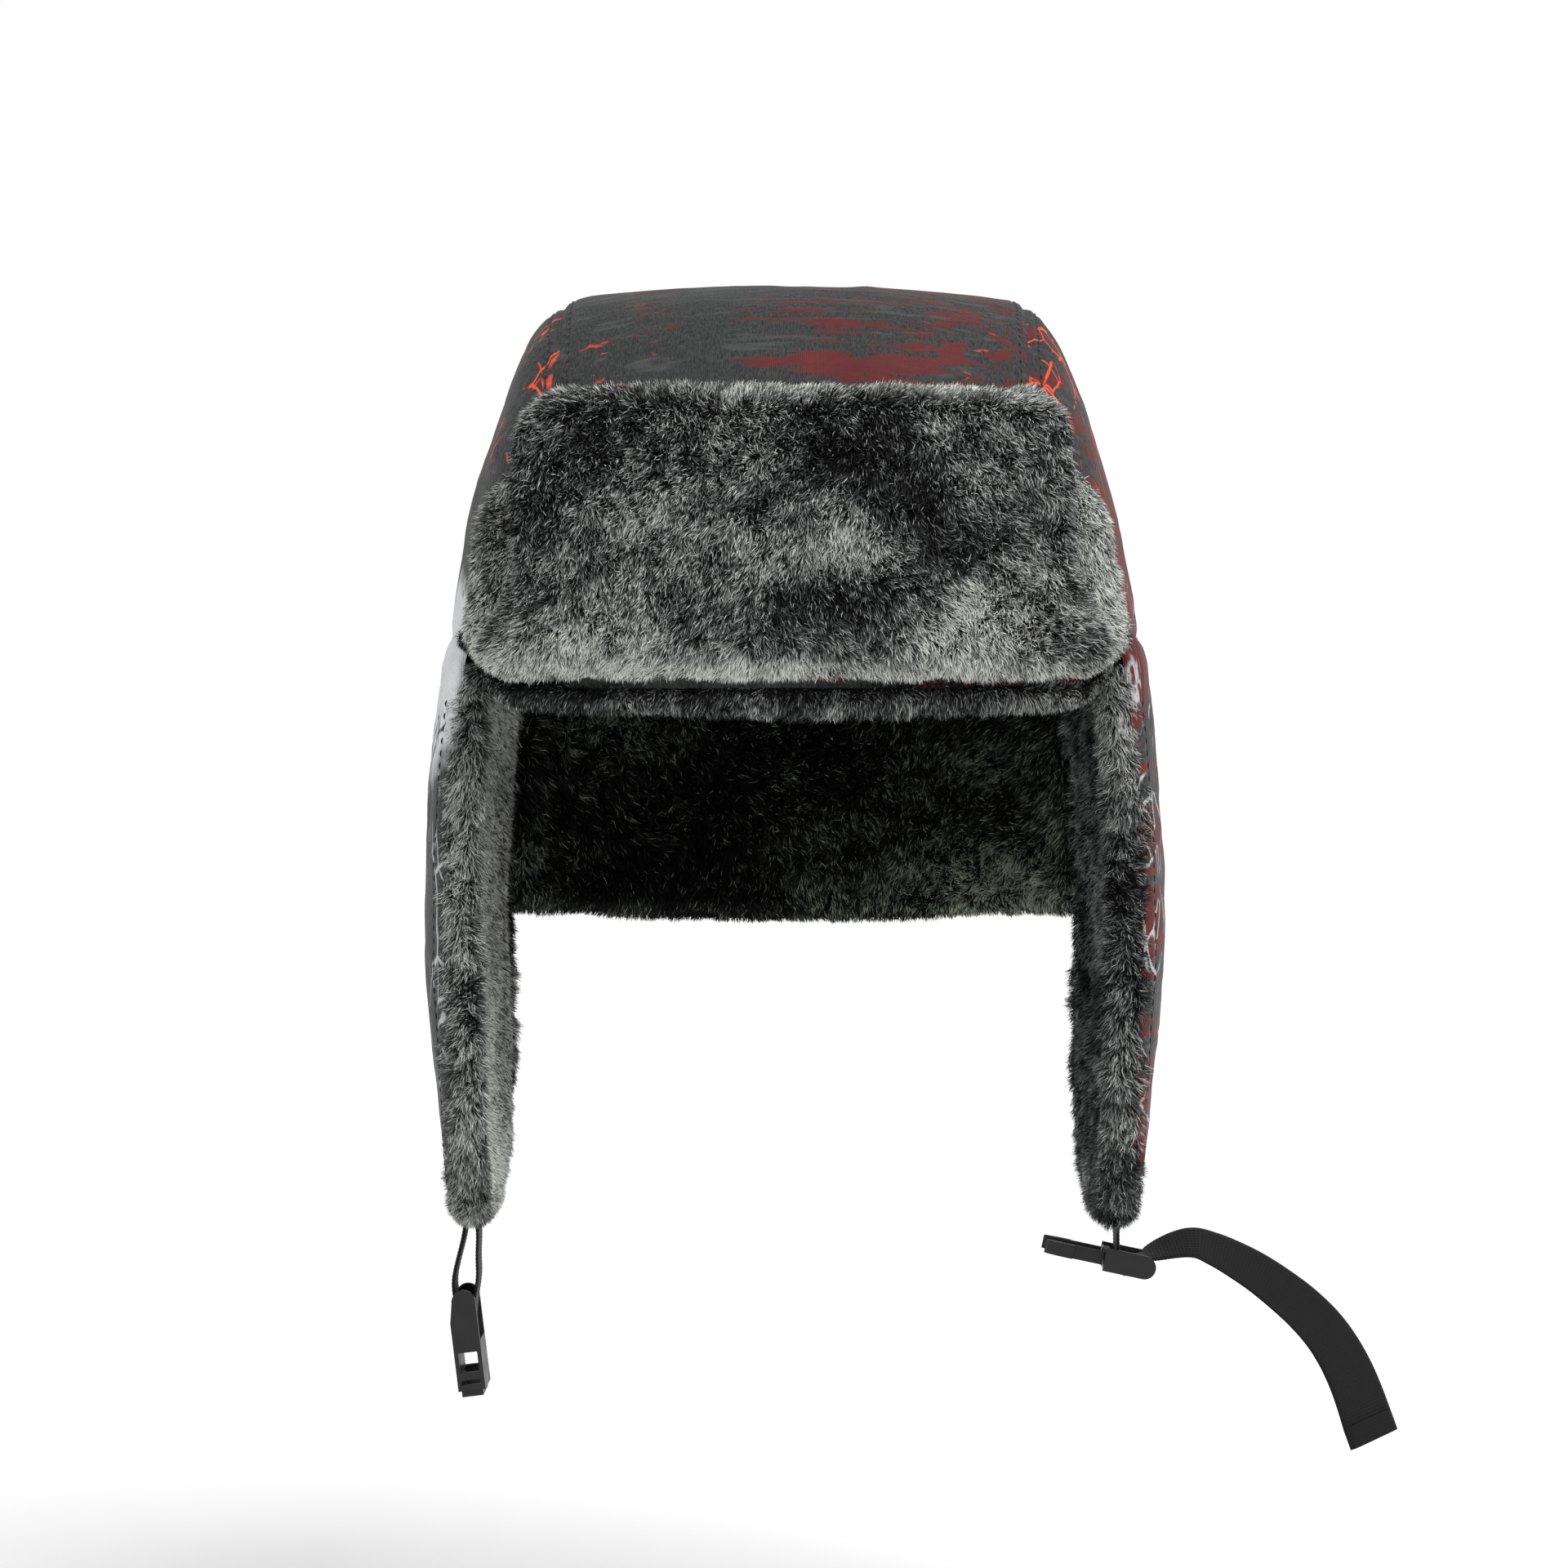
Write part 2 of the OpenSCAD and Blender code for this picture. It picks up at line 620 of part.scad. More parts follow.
crown_top_panel();
crown_side_panel(-1);  // crown_side_panel_left
crown_side_panel(1);  // crown_side_panel_right
crown_wadding_top();
crown_wadding_side(-1);  // crown_wadding_left
crown_wadding_side(1);  // crown_wadding_right
crown_lining_top();
crown_lining_side(-1);  // crown_lining_left
crown_lining_side(1);  // crown_lining_right
sweatband();
brow_fur_band();
top_seam_thread(-1);  // top_seam_thread_left
top_seam_thread(1);  // top_seam_thread_right
crown_press_stud();
front_flap_facing();
front_flap_wadding();
front_flap_fur();
front_flap_stud_socket();
ear_flap_shell(-1);  // ear_flap_left_shell
ear_flap_wadding(-1);  // ear_flap_left_wadding
ear_flap_fur(-1);  // ear_flap_left_fur
strap_anchor(-1);  // strap_anchor_left
ear_flap_shell(1);  // ear_flap_right_shell
ear_flap_wadding(1);  // ear_flap_right_wadding
ear_flap_fur(1);  // ear_flap_right_fur
strap_anchor(1);  // strap_anchor_right
neck_flap_shell();
neck_flap_wadding();
neck_flap_fur();
webbing_loop_left();
buckle_socket();
webbing_drop_right();
buckle_plug_frame();
plug_prong_front();
plug_prong_rear();
strap_tail();
strap_tail_hem();
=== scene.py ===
import json
import math

import bpy
import numpy as np
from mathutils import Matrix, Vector

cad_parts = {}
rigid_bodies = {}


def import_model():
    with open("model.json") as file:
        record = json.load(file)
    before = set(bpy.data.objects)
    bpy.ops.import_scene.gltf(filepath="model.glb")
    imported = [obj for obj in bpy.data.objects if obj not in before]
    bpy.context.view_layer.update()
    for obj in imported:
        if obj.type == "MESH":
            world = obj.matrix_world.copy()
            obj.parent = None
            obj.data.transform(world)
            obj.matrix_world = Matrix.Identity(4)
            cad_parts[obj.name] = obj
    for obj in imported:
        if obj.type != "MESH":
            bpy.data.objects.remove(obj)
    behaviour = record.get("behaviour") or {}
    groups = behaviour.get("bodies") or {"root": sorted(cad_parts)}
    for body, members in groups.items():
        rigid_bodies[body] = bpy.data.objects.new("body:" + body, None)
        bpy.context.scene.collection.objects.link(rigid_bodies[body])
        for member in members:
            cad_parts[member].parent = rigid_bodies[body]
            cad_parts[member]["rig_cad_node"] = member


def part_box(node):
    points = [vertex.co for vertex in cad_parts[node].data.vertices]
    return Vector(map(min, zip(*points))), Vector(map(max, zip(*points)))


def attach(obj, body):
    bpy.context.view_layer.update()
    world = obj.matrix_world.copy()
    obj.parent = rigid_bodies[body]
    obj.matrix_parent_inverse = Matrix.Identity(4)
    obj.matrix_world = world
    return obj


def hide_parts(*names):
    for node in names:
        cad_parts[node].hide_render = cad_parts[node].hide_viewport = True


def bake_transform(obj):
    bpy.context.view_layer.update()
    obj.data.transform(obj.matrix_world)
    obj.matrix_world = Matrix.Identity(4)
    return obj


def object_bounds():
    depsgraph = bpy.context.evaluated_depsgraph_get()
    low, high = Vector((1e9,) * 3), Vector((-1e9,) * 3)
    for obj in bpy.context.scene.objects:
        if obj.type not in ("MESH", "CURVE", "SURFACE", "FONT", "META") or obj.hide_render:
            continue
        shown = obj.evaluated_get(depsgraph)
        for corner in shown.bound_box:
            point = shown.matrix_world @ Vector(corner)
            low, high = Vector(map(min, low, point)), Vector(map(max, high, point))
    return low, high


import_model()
cad_box = [list(corner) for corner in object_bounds()]

# Geometry is worked out in millimetres, in the frame's own axes, and turned into metres
# where an object is made. The hat faces -Y and "left" is -X.
MM = 0.001
SIDES = {-1: "left", 1: "right"}
rng = np.random.default_rng(20)


def box_mm(node):
    low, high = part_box(node)
    return np.array(low) / MM, np.array(high) / MM


# ---- Sizes, from the CAD frame ----
DOME = 3.2
PHI_SEAM = 72.0
PHI_EAR_FRONT = -40.4
PHI_EAR_REAR = 46.0
PHI_EAR_MID = -4.0
PHI_NECK = 47.2
PHI_FLAP_END = -54.0
PHI_BROW_END = -43.2
FLAP_KNEE = 0.81
BELLY = 5.2
CLOTH_T = 1.2
FOLD_GAP = 2.5
# Flat sizes of the flaps, across and down
FRONT_SIZE = (200, 93)
EAR_SIZE = (125, 187)
NECK_SIZE = (235, 95)
# Depths of the layers inside the outer surface
LINING_IN = 8.6
BAND_IN = 10.4
WADDING_IN = 2.8
STRAP_ROOT_IN = 5.8
EAR_FUR_IN = 6.6
NECK_FUR_IN = 5.2
# How far the topstitching runs from a crown seam and from a flap's edge
SEAM_STITCH = 3.4
HEM_STITCH = 7

CROWN_H = box_mm("crown_top_panel")[1][2]
CROWN_D = -box_mm("crown_top_panel")[0][1]
SEAM_X = box_mm("crown_top_panel")[1][0]
SEAM_H = CROWN_H - 4
SEAM_D = CROWN_D - 12
# How far down an ear flap's front edge runs before it turns in
EAR_STRAIGHT = 104
CROWN_W = box_mm("ear_flap_right_shell")[1][0] - BELLY
EAR_LOW = box_mm("ear_flap_right_shell")[0][2]
NECK_LOW = box_mm("neck_flap_shell")[0][2]
FOLD_Z = box_mm("neck_flap_shell")[1][2] + FOLD_GAP
FRONT_LOW, FRONT_HIGH = (corner[2] for corner in box_mm("front_flap_facing"))
BACK_ANGLE = math.degrees(math.acos((FOLD_Z / CROWN_H) ** (DOME / 2)))
STRAP_Y = float(sum(corner[1] for corner in box_mm("strap_tail")) / 2)
WEBBING_W = 20.0
WEBBING_T = 1.3


# ---- The hat's surface ----
def dome(ratio):
    """How far the crown still reaches out at a share of its height."""
    return (1 - np.clip(ratio, 0, 0.9999) ** DOME) ** (1 / DOME)


def smooth(x):
    x = np.clip(x, 0, 1)
    return x * x * (3 - 2 * x)


def half_width(z):
    """Half the hat's width at height z, drawn in towards the top and bellied below the origin."""
    up = np.clip(z, 0, None) / SEAM_H
    low = CROWN_W + BELLY * np.sin(np.radians(-z * 1.25))
    return np.where(z >= 0, CROWN_W - 24 * up - 14 * up**3.5, low)


def side_wall(phi, z, off=0.0, side=1.0):
    """Point on a side panel or an ear flap, off inside the outer surface."""
    seam_x = SEAM_X - 0.6 * off
    ys = (SEAM_D - off) * dome(z / (SEAM_H - off))
    zr = z * SEAM_H / (SEAM_H - off)
    up = np.clip(z / SEAM_H, 0, 1)
    bulge = half_width(np.where(zr > 0, zr, z)) - off * (1 - 0.4 * up**3) - seam_x
    y = ys * np.sin(np.radians(phi)) / math.sin(math.radians(PHI_SEAM))
    reach = (np.abs(y / SEAM_D) ** DOME + np.clip(z / SEAM_H, 0, 1) ** DOME) ** (1 / DOME)
    turn = np.sqrt(np.clip(1 - np.clip((reach - 0.9) / 0.1, 0, 1) ** 2, 0, 1))
    turn = np.where(z > 40, turn, 1 + (turn - 1) * smooth(z / 40))
    out = 1 - (np.abs(phi) / PHI_SEAM) ** 3
    x = side * (seam_x + bulge * out * turn)
    return np.stack(np.broadcast_arrays(x, y, z), -1)


def strip_wall(t, z, off=0.0, front=-1.0):
    """Point on the front or back strip between the two seams."""
    yc = (CROWN_D - off) * dome(z / (CROWN_H - off))
    ys = (SEAM_D - off) * dome(z / (SEAM_H - off))
    return np.stack(np.broadcast_arrays((SEAM_X - 0.6 * off) * t, front * (yc + (ys - yc) * t * t), z), -1)


def top_point(a, t, off=0.0):
    """Point on the top panel: angle a from -90 at the front edge, t across it."""
    s, c = np.sin(np.radians(a)), np.cos(np.radians(a))
    s, c = np.sign(s) * np.abs(s) ** (2 / DOME), np.abs(c) ** (2 / DOME)
    yc, ys = (CROWN_D - off) * s, (SEAM_D - off) * s
    zc, zs = (CROWN_H - off) * c, (SEAM_H - off) * c
    x, y, z = (SEAM_X - 0.6 * off) * t, yc + (ys - yc) * t * t, zc + (zs - zc) * t * t
    return np.stack(np.broadcast_arrays(x, y, z), -1)


def crown_edge(phi):
    """Height of a side panel's lower edge, 0 at the brow and the fold line further back."""
    return FOLD_Z * smooth((phi + 64) / 18)


def flap_reach(z):
    """Share of the front flap's half-width reached at height z, which rounds its corners."""
    up = np.clip((z - (FRONT_HIGH - 45)) / 45, 0, 1)
    low = np.clip((FRONT_LOW + 22 - z) / 22, 0, 1)
    return 1 - 0.30 * up ** 2.1 - 0.19 * low ** 2.6


def front_place(u, v, off):
    """Point on the folded-up front flap; u across, v up, off negative outwards."""
    z = FRONT_LOW + 2.5 + (FRONT_HIGH - FRONT_LOW - 5) * v
    s = (2 * u - 1) * flap_reach(z)
    m = np.abs(s)
    strip = strip_wall(np.clip(s / FLAP_KNEE, -1, 1), z, off, -1)
    phi = -PHI_SEAM + (PHI_FLAP_END + PHI_SEAM) * (m - FLAP_KNEE) / (1 - FLAP_KNEE)
    arc = side_wall(np.maximum(phi, -PHI_SEAM), z, off, np.sign(s))
    return np.where((m <= FLAP_KNEE)[..., None], strip, arc)


def ear_place(side, top):
    """Surface of an ear flap that hangs from height top; u runs from its front edge, v up."""
    def place(u, v, off):
        z = EAR_LOW + (top - EAR_LOW) * (1 - np.cos(np.radians(90 * v)))
        k1 = np.clip((-z - EAR_STRAIGHT) / (-EAR_LOW - EAR_STRAIGHT + 1), 0, 0.999)
        k2 = np.clip((NECK_LOW - z) / (NECK_LOW - EAR_LOW + 1), 0, 0.999)
        a = PHI_EAR_MID + (PHI_EAR_FRONT - PHI_EAR_MID) * np.sqrt(1 - k1 * k1)
        b = PHI_EAR_MID + (PHI_EAR_REAR - PHI_EAR_MID) * (1 - k2 ** 3.2) ** (1 / 3.2)
        return side_wall(a + (b - a) * u, z, off, side)
    return place


NECK_ARC = 0.16


def neck_place(top):
    """Surface of the neck flap that hangs from height top; u runs across the back, v up."""
    def place(u, v, off):
        left, right = u < NECK_ARC, u > 1 - NECK_ARC
        arc = np.where(left, u, 1 - u) / NECK_ARC
        t = np.clip(-1 + 2 * (u - NECK_ARC) / (1 - 2 * NECK_ARC), -1, 1)
        low = NECK_LOW + np.where(left | right, 4 - arc, 3 * t * t)
        z = low + (top - low) * v
        phi = PHI_NECK + (PHI_SEAM - PHI_NECK) * np.clip(arc, 0, 1)
        side = side_wall(phi, z, off, np.where(left, -1.0, 1.0))
        return np.where((left | right)[..., None], side, strip_wall(t, z, off, 1))
    return place


# ---- Noise ----
NOISE = np.random.default_rng(11).uniform(-1, 1, (32, 32, 32))


def noise(p, size, seed=0):
    """Smooth noise from -1 to 1 at points p, with features about size millimetres across."""
    q = np.asarray(p) / size + seed * 7.31
    cell = np.floor(q).astype(int)
    f = q - cell
    f = f * f * (3 - 2 * f)
    total = 0
    for dx in (0, 1):
        for dy in (0, 1):
            for dz in (0, 1):
                w = np.abs(1 - dx - f[..., 0]) * np.abs(1 - dy - f[..., 1]) * np.abs(1 - dz - f[..., 2])
                i, j, k = np.moveaxis((cell + np.array([dx, dy, dz])) % 32, -1, 0)
                total = total + w * NOISE[i, j, k]
    return total


def crease(p, size, seed=0):
    """Sharp-topped folds, 0 to 1."""
    return (1 - np.abs(noise(p, size, seed))) ** 4


# ---- Meshes ----
def unit(v):
    return v / np.maximum(np.linalg.norm(v, axis=-1, keepdims=True), 1e-9)


def normals(grid, outward):
    """Unit normals of a grid of points, on the side that outward points to."""
    n = unit(np.cross(np.gradient(grid, axis=1), np.gradient(grid, axis=0)))
    sign = np.sign(np.sum(n * outward, -1, keepdims=True))
    return n * np.where(sign == 0, 1, sign)


def mesh_object(name, verts, faces, flat=None, uvs=None):
    """Object from points in millimetres and lists of face arrays of 3 or 4 corners."""
    me = bpy.data.meshes.new(name)
    loops = np.concatenate([f.ravel() for f in faces]).astype(np.int32)
    sizes = np.concatenate([np.full(len(f), f.shape[1]) for f in faces])
    starts = np.concatenate([[0], np.cumsum(sizes)[:-1]]).astype(np.int32)
    me.vertices.add(len(verts))
    me.vertices.foreach_set("co", (np.asarray(verts) * MM).astype(np.float32).ravel())
    me.loops.add(len(loops))
    me.loops.foreach_set("vertex_index", loops)
    me.polygons.add(len(starts))
    me.polygons.foreach_set("loop_start", starts)
    shade = np.ones(len(starts), bool)
    if flat is not None:
        shade[flat] = False
    me.polygons.foreach_set("use_smooth", shade)
    if uvs is not None:
        layer = me.uv_layers.new(name="OFBake")
        layer.uv.foreach_set("vector", uvs[loops].astype(np.float32).ravel())
    me.update(calc_edges=True)
    me.validate()
    ob = bpy.data.objects.new(name, me)
    bpy.context.collection.objects.link(ob)
    return ob


def grid_faces(rows, cols, first=0, flip=False):
    """Corner numbers of the quads of a grid of points, row by row."""
    a = first + np.arange(rows - 1)[:, None] * cols + np.arange(cols - 1)[None]
    a = a.ravel()
    quads = np.stack([a, a + 1, a + cols + 1, a + cols], 1)
    return quads[:, ::-1] if flip else quads


def shell(name, outer, inner):
    """Closed solid between two grids of the same size."""
    rows, cols, _ = outer.shape
    n = rows * cols
    a, b, c = outer[rows // 2, cols // 2], outer[rows // 2, cols // 2 + 1], outer[rows // 2 + 1, cols // 2]
    flip = np.dot(np.cross(b - a, c - a), a - inner[rows // 2, cols // 2]) < 0
    j, i = np.arange(cols - 1), np.arange(rows - 1)
    last, edge = (rows - 1) * cols + j, i * cols + cols - 1
    rim = np.concatenate([
        np.stack([j, n + j, n + j + 1, j + 1], 1),
        np.stack([last, last + 1, n + last + 1, n + last], 1),
        np.stack([i * cols, i * cols + cols, n + i * cols + cols, n + i * cols], 1),
        np.stack([edge, n + edge, n + edge + cols, edge + cols], 1),
    ])
    rim = rim[:, ::-1] if flip else rim
    faces = [grid_faces(rows, cols, 0, flip), grid_faces(rows, cols, n, not flip), rim]
    count = sum(len(f) for f in faces)
    verts = np.concatenate([outer.reshape(-1, 3), inner.reshape(-1, 3)])
    return mesh_object(name, verts, faces, flat=np.arange(count - len(rim), count))


def finish_piece(ob, mat, slot, body=None, replaces=(), blend=None):
    """Gives a piece its material and the body it moves with, and hides what it replaces; slot is not used,
    and a piece given blend only has its transform applied, with no body.
    """
    ob.data.materials.clear()
    ob.data.materials.append(mat)
    if blend:
        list(blend)
        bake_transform(ob)
    else:
        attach(ob, body)
    if replaces:
        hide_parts(*replaces)
    return ob


# ---- Materials ----
class Tree:
    """Short way to build a material's nodes."""

    def __init__(self, name, **shader):
        self.mat = bpy.data.materials.new(name)
        self.mat.use_nodes = True
        self.nt = self.mat.node_tree
        self.bsdf = self.nt.nodes["Principled BSDF"]
        for key, value in shader.items():
            self.bsdf.inputs[key.replace("_", " ")].default_value = value
        self.coords = self.nt.nodes.new("ShaderNodeTexCoord").outputs["Object"]

    def put(self, kind, ins, out=0, **attrs):
        n = self.nt.nodes.new("ShaderNode" + kind)
        for key, value in attrs.items():
            setattr(n, key, value)
        for key, value in ins.items():
            self.join(n.inputs[key], value)
        return n.outputs[out]

    def join(self, socket, value):
        if isinstance(value, bpy.types.NodeSocket):
            self.nt.links.new(value, socket)
        else:
            socket.default_value = value

    def shader(self, key, value):
        self.join(self.bsdf.inputs[key], value)

    def scaled(self, x, y, z):
        return self.put("Mapping", {"Vector": self.coords, "Scale": (x, y, z)})

    def noise(self, scale, at=None, detail=4.0, rough=0.55, twist=0.0):
        ins = {"Scale": scale, "Detail": detail, "Roughness": rough, "Distortion": twist}
        return self.put("TexNoise", {"Vector": at or self.coords, **ins})

    def ramp(self, value, *stops):
        n = self.nt.nodes.new("ShaderNodeValToRGB")
        while len(n.color_ramp.elements) < len(stops):
            n.color_ramp.elements.new(0.5)
        for element, (place, colour) in zip(n.color_ramp.elements, stops):
            element.position = place
            element.color = (*colour, 1) if len(colour) == 3 else (colour[0],) * 3 + (1,)
        self.join(n.inputs[0], value)
        return n.outputs[0]

    def mask(self, value, low, high):
        """0 where value is under low, 1 where it is over high."""
        return self.ramp(value, (low, (0.0,)), (high, (1.0,)))

    def mix(self, factor, a, b, blend="MIX"):
        n = self.nt.nodes.new("ShaderNodeMix")
        n.data_type = "RGBA"
        n.blend_type = blend
        self.join(n.inputs[0], factor)
        for socket, value in ((n.inputs[6], a), (n.inputs[7], b)):
            self.join(socket, (*value, 1) if isinstance(value, tuple) else value)
        return n.outputs[2]

    def maths(self, operation, a, b=0.0):
        return self.put("Math", {0: a, 1: b}, operation=operation)

    def times(self, a, b):
        return self.maths("MULTIPLY", a, b)

    def jitter(self, value, amount):
        """value, a noise from 0 to 1, centred on 0 and scaled by amount."""
        return self.times(self.maths("SUBTRACT", value, 0.5), amount)

    def spread(self, value, low, high, to_low=0.0, to_high=1.0):
        ins = {"Value": value, "From Min": low, "From Max": high, "To Min": to_low, "To Max": to_high}
        return self.put("MapRange", ins, clamp=True)

    def bump(self, height, strength, distance, normal=None):
        ins = {"Height": height, "Strength": strength, "Distance": distance}
        if normal is not None:
            ins["Normal"] = normal
        return self.put("Bump", ins)

    def axis(self, name):
        return self.put("SeparateXYZ", {0: self.coords}, out="XYZ".index(name))

    def band(self, value, low, high, soft):
        """1 where value lies between low and high, with soft edges."""
        rise = self.spread(value, low - soft, low + soft)
        return self.times(rise, self.spread(value, high + soft, high - soft))


CHARCOAL = (0.010, 0.0106, 0.011)
ASH = (0.060, 0.061, 0.062)
GREY_YARN = (0.042, 0.043, 0.044)
OXBLOOD = (0.125, 0.013, 0.013)
OXBLOOD_DEEP = (0.075, 0.009, 0.010)
RUST = (0.42, 0.04, 0.02)
EMBER = (0.80, 0.075, 0.025)
BONE = (0.42, 0.44, 0.45)
CHALK_TONES = ((0.40, 0.42, 0.43), (0.72, 0.73, 0.74))
INK = (0.012, 0.012, 0.012)


def brushed_red(t, side):
    """Where the cloth is dark red: ragged streaks, more of them towards +X."""
    stretch = (15, 230, 200) if side == 0 else (14, 22, 190)
    streak = t.noise(1.0, at=t.scaled(*stretch), detail=7, rough=0.62, twist=0.6)
    patch = t.noise(14.0, detail=3)
    rightward = t.spread(t.axis("X"), -0.06, 0.05, -0.09, 0.05)
    marks = t.maths("ADD", t.times(patch, 0.45), t.times(streak, 0.62))
    jag = t.jitter(t.noise(1.0, at=t.scaled(90, 1500, 900), detail=3), 0.16)
    return t.mask(t.maths("ADD", t.maths("ADD", marks, rightward), jag), 0.560, 0.578)


def scratches(t):
    """Thin crossing scratches, from the edges between bent cells of two sizes, broken up in patches."""
    wander = t.put("TexNoise", {"Vector": t.coords, "Scale": 40.0, "Detail": 3.0}, out=1)
    wander = t.put("VectorMath", {0: wander, "Scale": 0.008}, operation="SCALE")
    bent = t.put("VectorMath", {0: t.coords, 1: wander}, operation="ADD")
    long_cells = t.put("VectorMath", {0: bent, 1: (1.0, 1.0, 0.45)}, operation="MULTIPLY")
    lines = []
    for scale, width in ((50.0, 0.020), (105.0, 0.034)):
        edge = t.put("TexVoronoi", {"Vector": long_cells, "Scale": scale}, feature="DISTANCE_TO_EDGE")
        lines.append(t.ramp(edge, (width * 0.4, (1.0,)), (width, (0.0,))))
    fine = t.times(lines[1], t.mask(t.noise(30.0), 0.5, 0.54))
    return t.times(t.maths("MAXIMUM", lines[0], fine), t.mask(t.noise(60.0, detail=3), 0.47, 0.52))


def softshell(name, side=0):
    """Bonded outer fabric with a brushed print; side -1 and 1 add the scratched side panels' marks."""
    t = Tree(name, Roughness=0.62, Sheen_Weight=0.06, Sheen_Roughness=0.4, Specular_IOR_Level=0.28)
    red = brushed_red(t, side)
    ash = t.mask(t.noise(1.0, at=t.scaled(30, 320, 280), detail=6, twist=0.5), 0.55, 0.63)
    grain = t.mask(t.noise(1.0, at=t.scaled(2000, 600, 600), detail=2), 0.32, 0.68)
    colour = t.mix(t.times(ash, 0.7), t.mix(grain, CHARCOAL, GREY_YARN), ASH)
    colour = t.mix(red, colour, t.mix(t.noise(60.0), OXBLOOD_DEEP, OXBLOOD))
    if side == 0:
        fleck = t.mask(t.noise(1.0, at=t.scaled(60, 520, 260), detail=5, twist=0.8), 0.66, 0.69)
        near_seam = t.band(t.maths("ABSOLUTE", t.axis("X")), 0.045, 0.075, 0.012)
        colour = t.mix(t.times(fleck, near_seam), colour, RUST)
    else:
        scratch = scratches(t)
        z = t.axis("Z")
        if side < 0:
            ragged = t.maths("ADD", z, t.jitter(t.noise(30.0, detail=5), 0.05))
            chalk = t.times(t.band(ragged, -0.022, 0.03, 0.004), t.band(t.axis("Y"), -0.09, -0.01, 0.01))
            colour = t.mix(chalk, colour, t.mix(t.noise(70.0), *CHALK_TONES))
            colour = t.mix(t.times(chalk, scratch), colour, INK)
            scratch = t.times(scratch, t.maths("SUBTRACT", 1.0, chalk))
        hot = t.spread(z, 0.055, 0.085)
        cold = t.spread(z, 0.045, 0.02)
        colour = t.mix(t.times(scratch, hot), colour, EMBER)
        colour = t.mix(t.times(scratch, cold), colour, BONE)
    t.shader("Base Color", colour)
    t.shader("Roughness", t.ramp(t.noise(45.0), (0.3, (0.52,)), (0.7, (0.70,))))
    weave = t.put("TexWave", {"Vector": t.coords, "Scale": 520.0, "Distortion": 1.2, "Detail": 1.0}, out=1)
    wrinkle = t.noise(1.0, at=t.scaled(120, 380, 380), detail=6, twist=1.0)
    t.shader("Normal", t.bump(weave, 0.25, 0.0003, t.bump(wrinkle, 0.5, 0.0016)))
    return t.mat


def fur_material(name, tones, root=0.16):
    """Pile: the map's u is a strand's tone and its v runs from root to tip."""
    t = Tree(name, Roughness=0.6, Specular_IOR_Level=0.12)
    uv = t.put("UVMap", {}, uv_map="OFBake")
    u = t.put("SeparateXYZ", {0: uv}, out=0)
    v = t.put("SeparateXYZ", {0: uv}, out=1)
    tip = t.ramp(u, *tones)
    shade = t.ramp(v, (0.0, (root,)), (0.45, (0.5,)), (1.0, (1.0,)))
    t.shader("Base Color", t.mix(1.0, tip, shade, "MULTIPLY"))
    return t.mat


def underfur(name, dark, light):
    """Matted base of the pile, seen only between the strands."""
    t = Tree(name, Roughness=0.95, Specular_IOR_Level=0.05)
    t.shader("Base Color", t.mix(t.mask(t.noise(900.0, detail=3), 0.4, 0.7), dark, light))
    t.shader("Normal", t.bump(t.noise(700.0, detail=2), 0.8, 0.001))
    return t.mat


def plain_weave(name, dark, light, scale, rough, sheen=0.05, depth=0.0003):
    t = Tree(name, Roughness=rough, Sheen_Weight=sheen, Specular_IOR_Level=0.15)
    waves = {"Vector": t.coords, "Scale": scale, "Distortion": 0.6}
    both = t.times(*(t.put("TexWave", waves, out=1, bands_direction=way) for way in "XZ"))
    t.shader("Base Color", t.mix(t.times(both, t.noise(90.0)), dark, light))
    t.shader("Normal", t.bump(both, 0.4, depth))
    return t.mat


def plastic(name):
    t = Tree(name, Roughness=0.42, Specular_IOR_Level=0.3)
    t.shader("Base Color", t.mix(t.noise(160.0), (0.006, 0.0062, 0.0065), (0.012, 0.0122, 0.0128)))
    t.shader("Roughness", t.ramp(t.noise(220.0), (0.35, (0.36,)), (0.7, (0.5,))))
    t.shader("Normal", t.bump(t.noise(2600.0, detail=2), 0.12, 0.0001))
    return t.mat


def metal(name):
    t = Tree(name, Metallic=1.0, Roughness=0.3)
    t.shader("Base Color", t.mix(t.noise(400.0), (0.20, 0.20, 0.21), (0.34, 0.34, 0.35)))
    t.shader("Roughness", t.ramp(t.noise(1.0, at=t.scaled(900, 900, 90)), (0.3, (0.25,)), (0.7, (0.42,))))
    t.shader("Normal", t.bump(t.noise(1500.0), 0.08, 0.0001))
    return t.mat


def fleece(name):
    t = Tree(name, Roughness=0.95, Sheen_Weight=0.4)
    t.shader("Base Color", t.mix(t.noise(500.0), (0.62, 0.61, 0.57), (0.80, 0.79, 0.75)))
    t.shader("Normal", t.bump(t.noise(800.0), 0.6, 0.0008))
    return t.mat


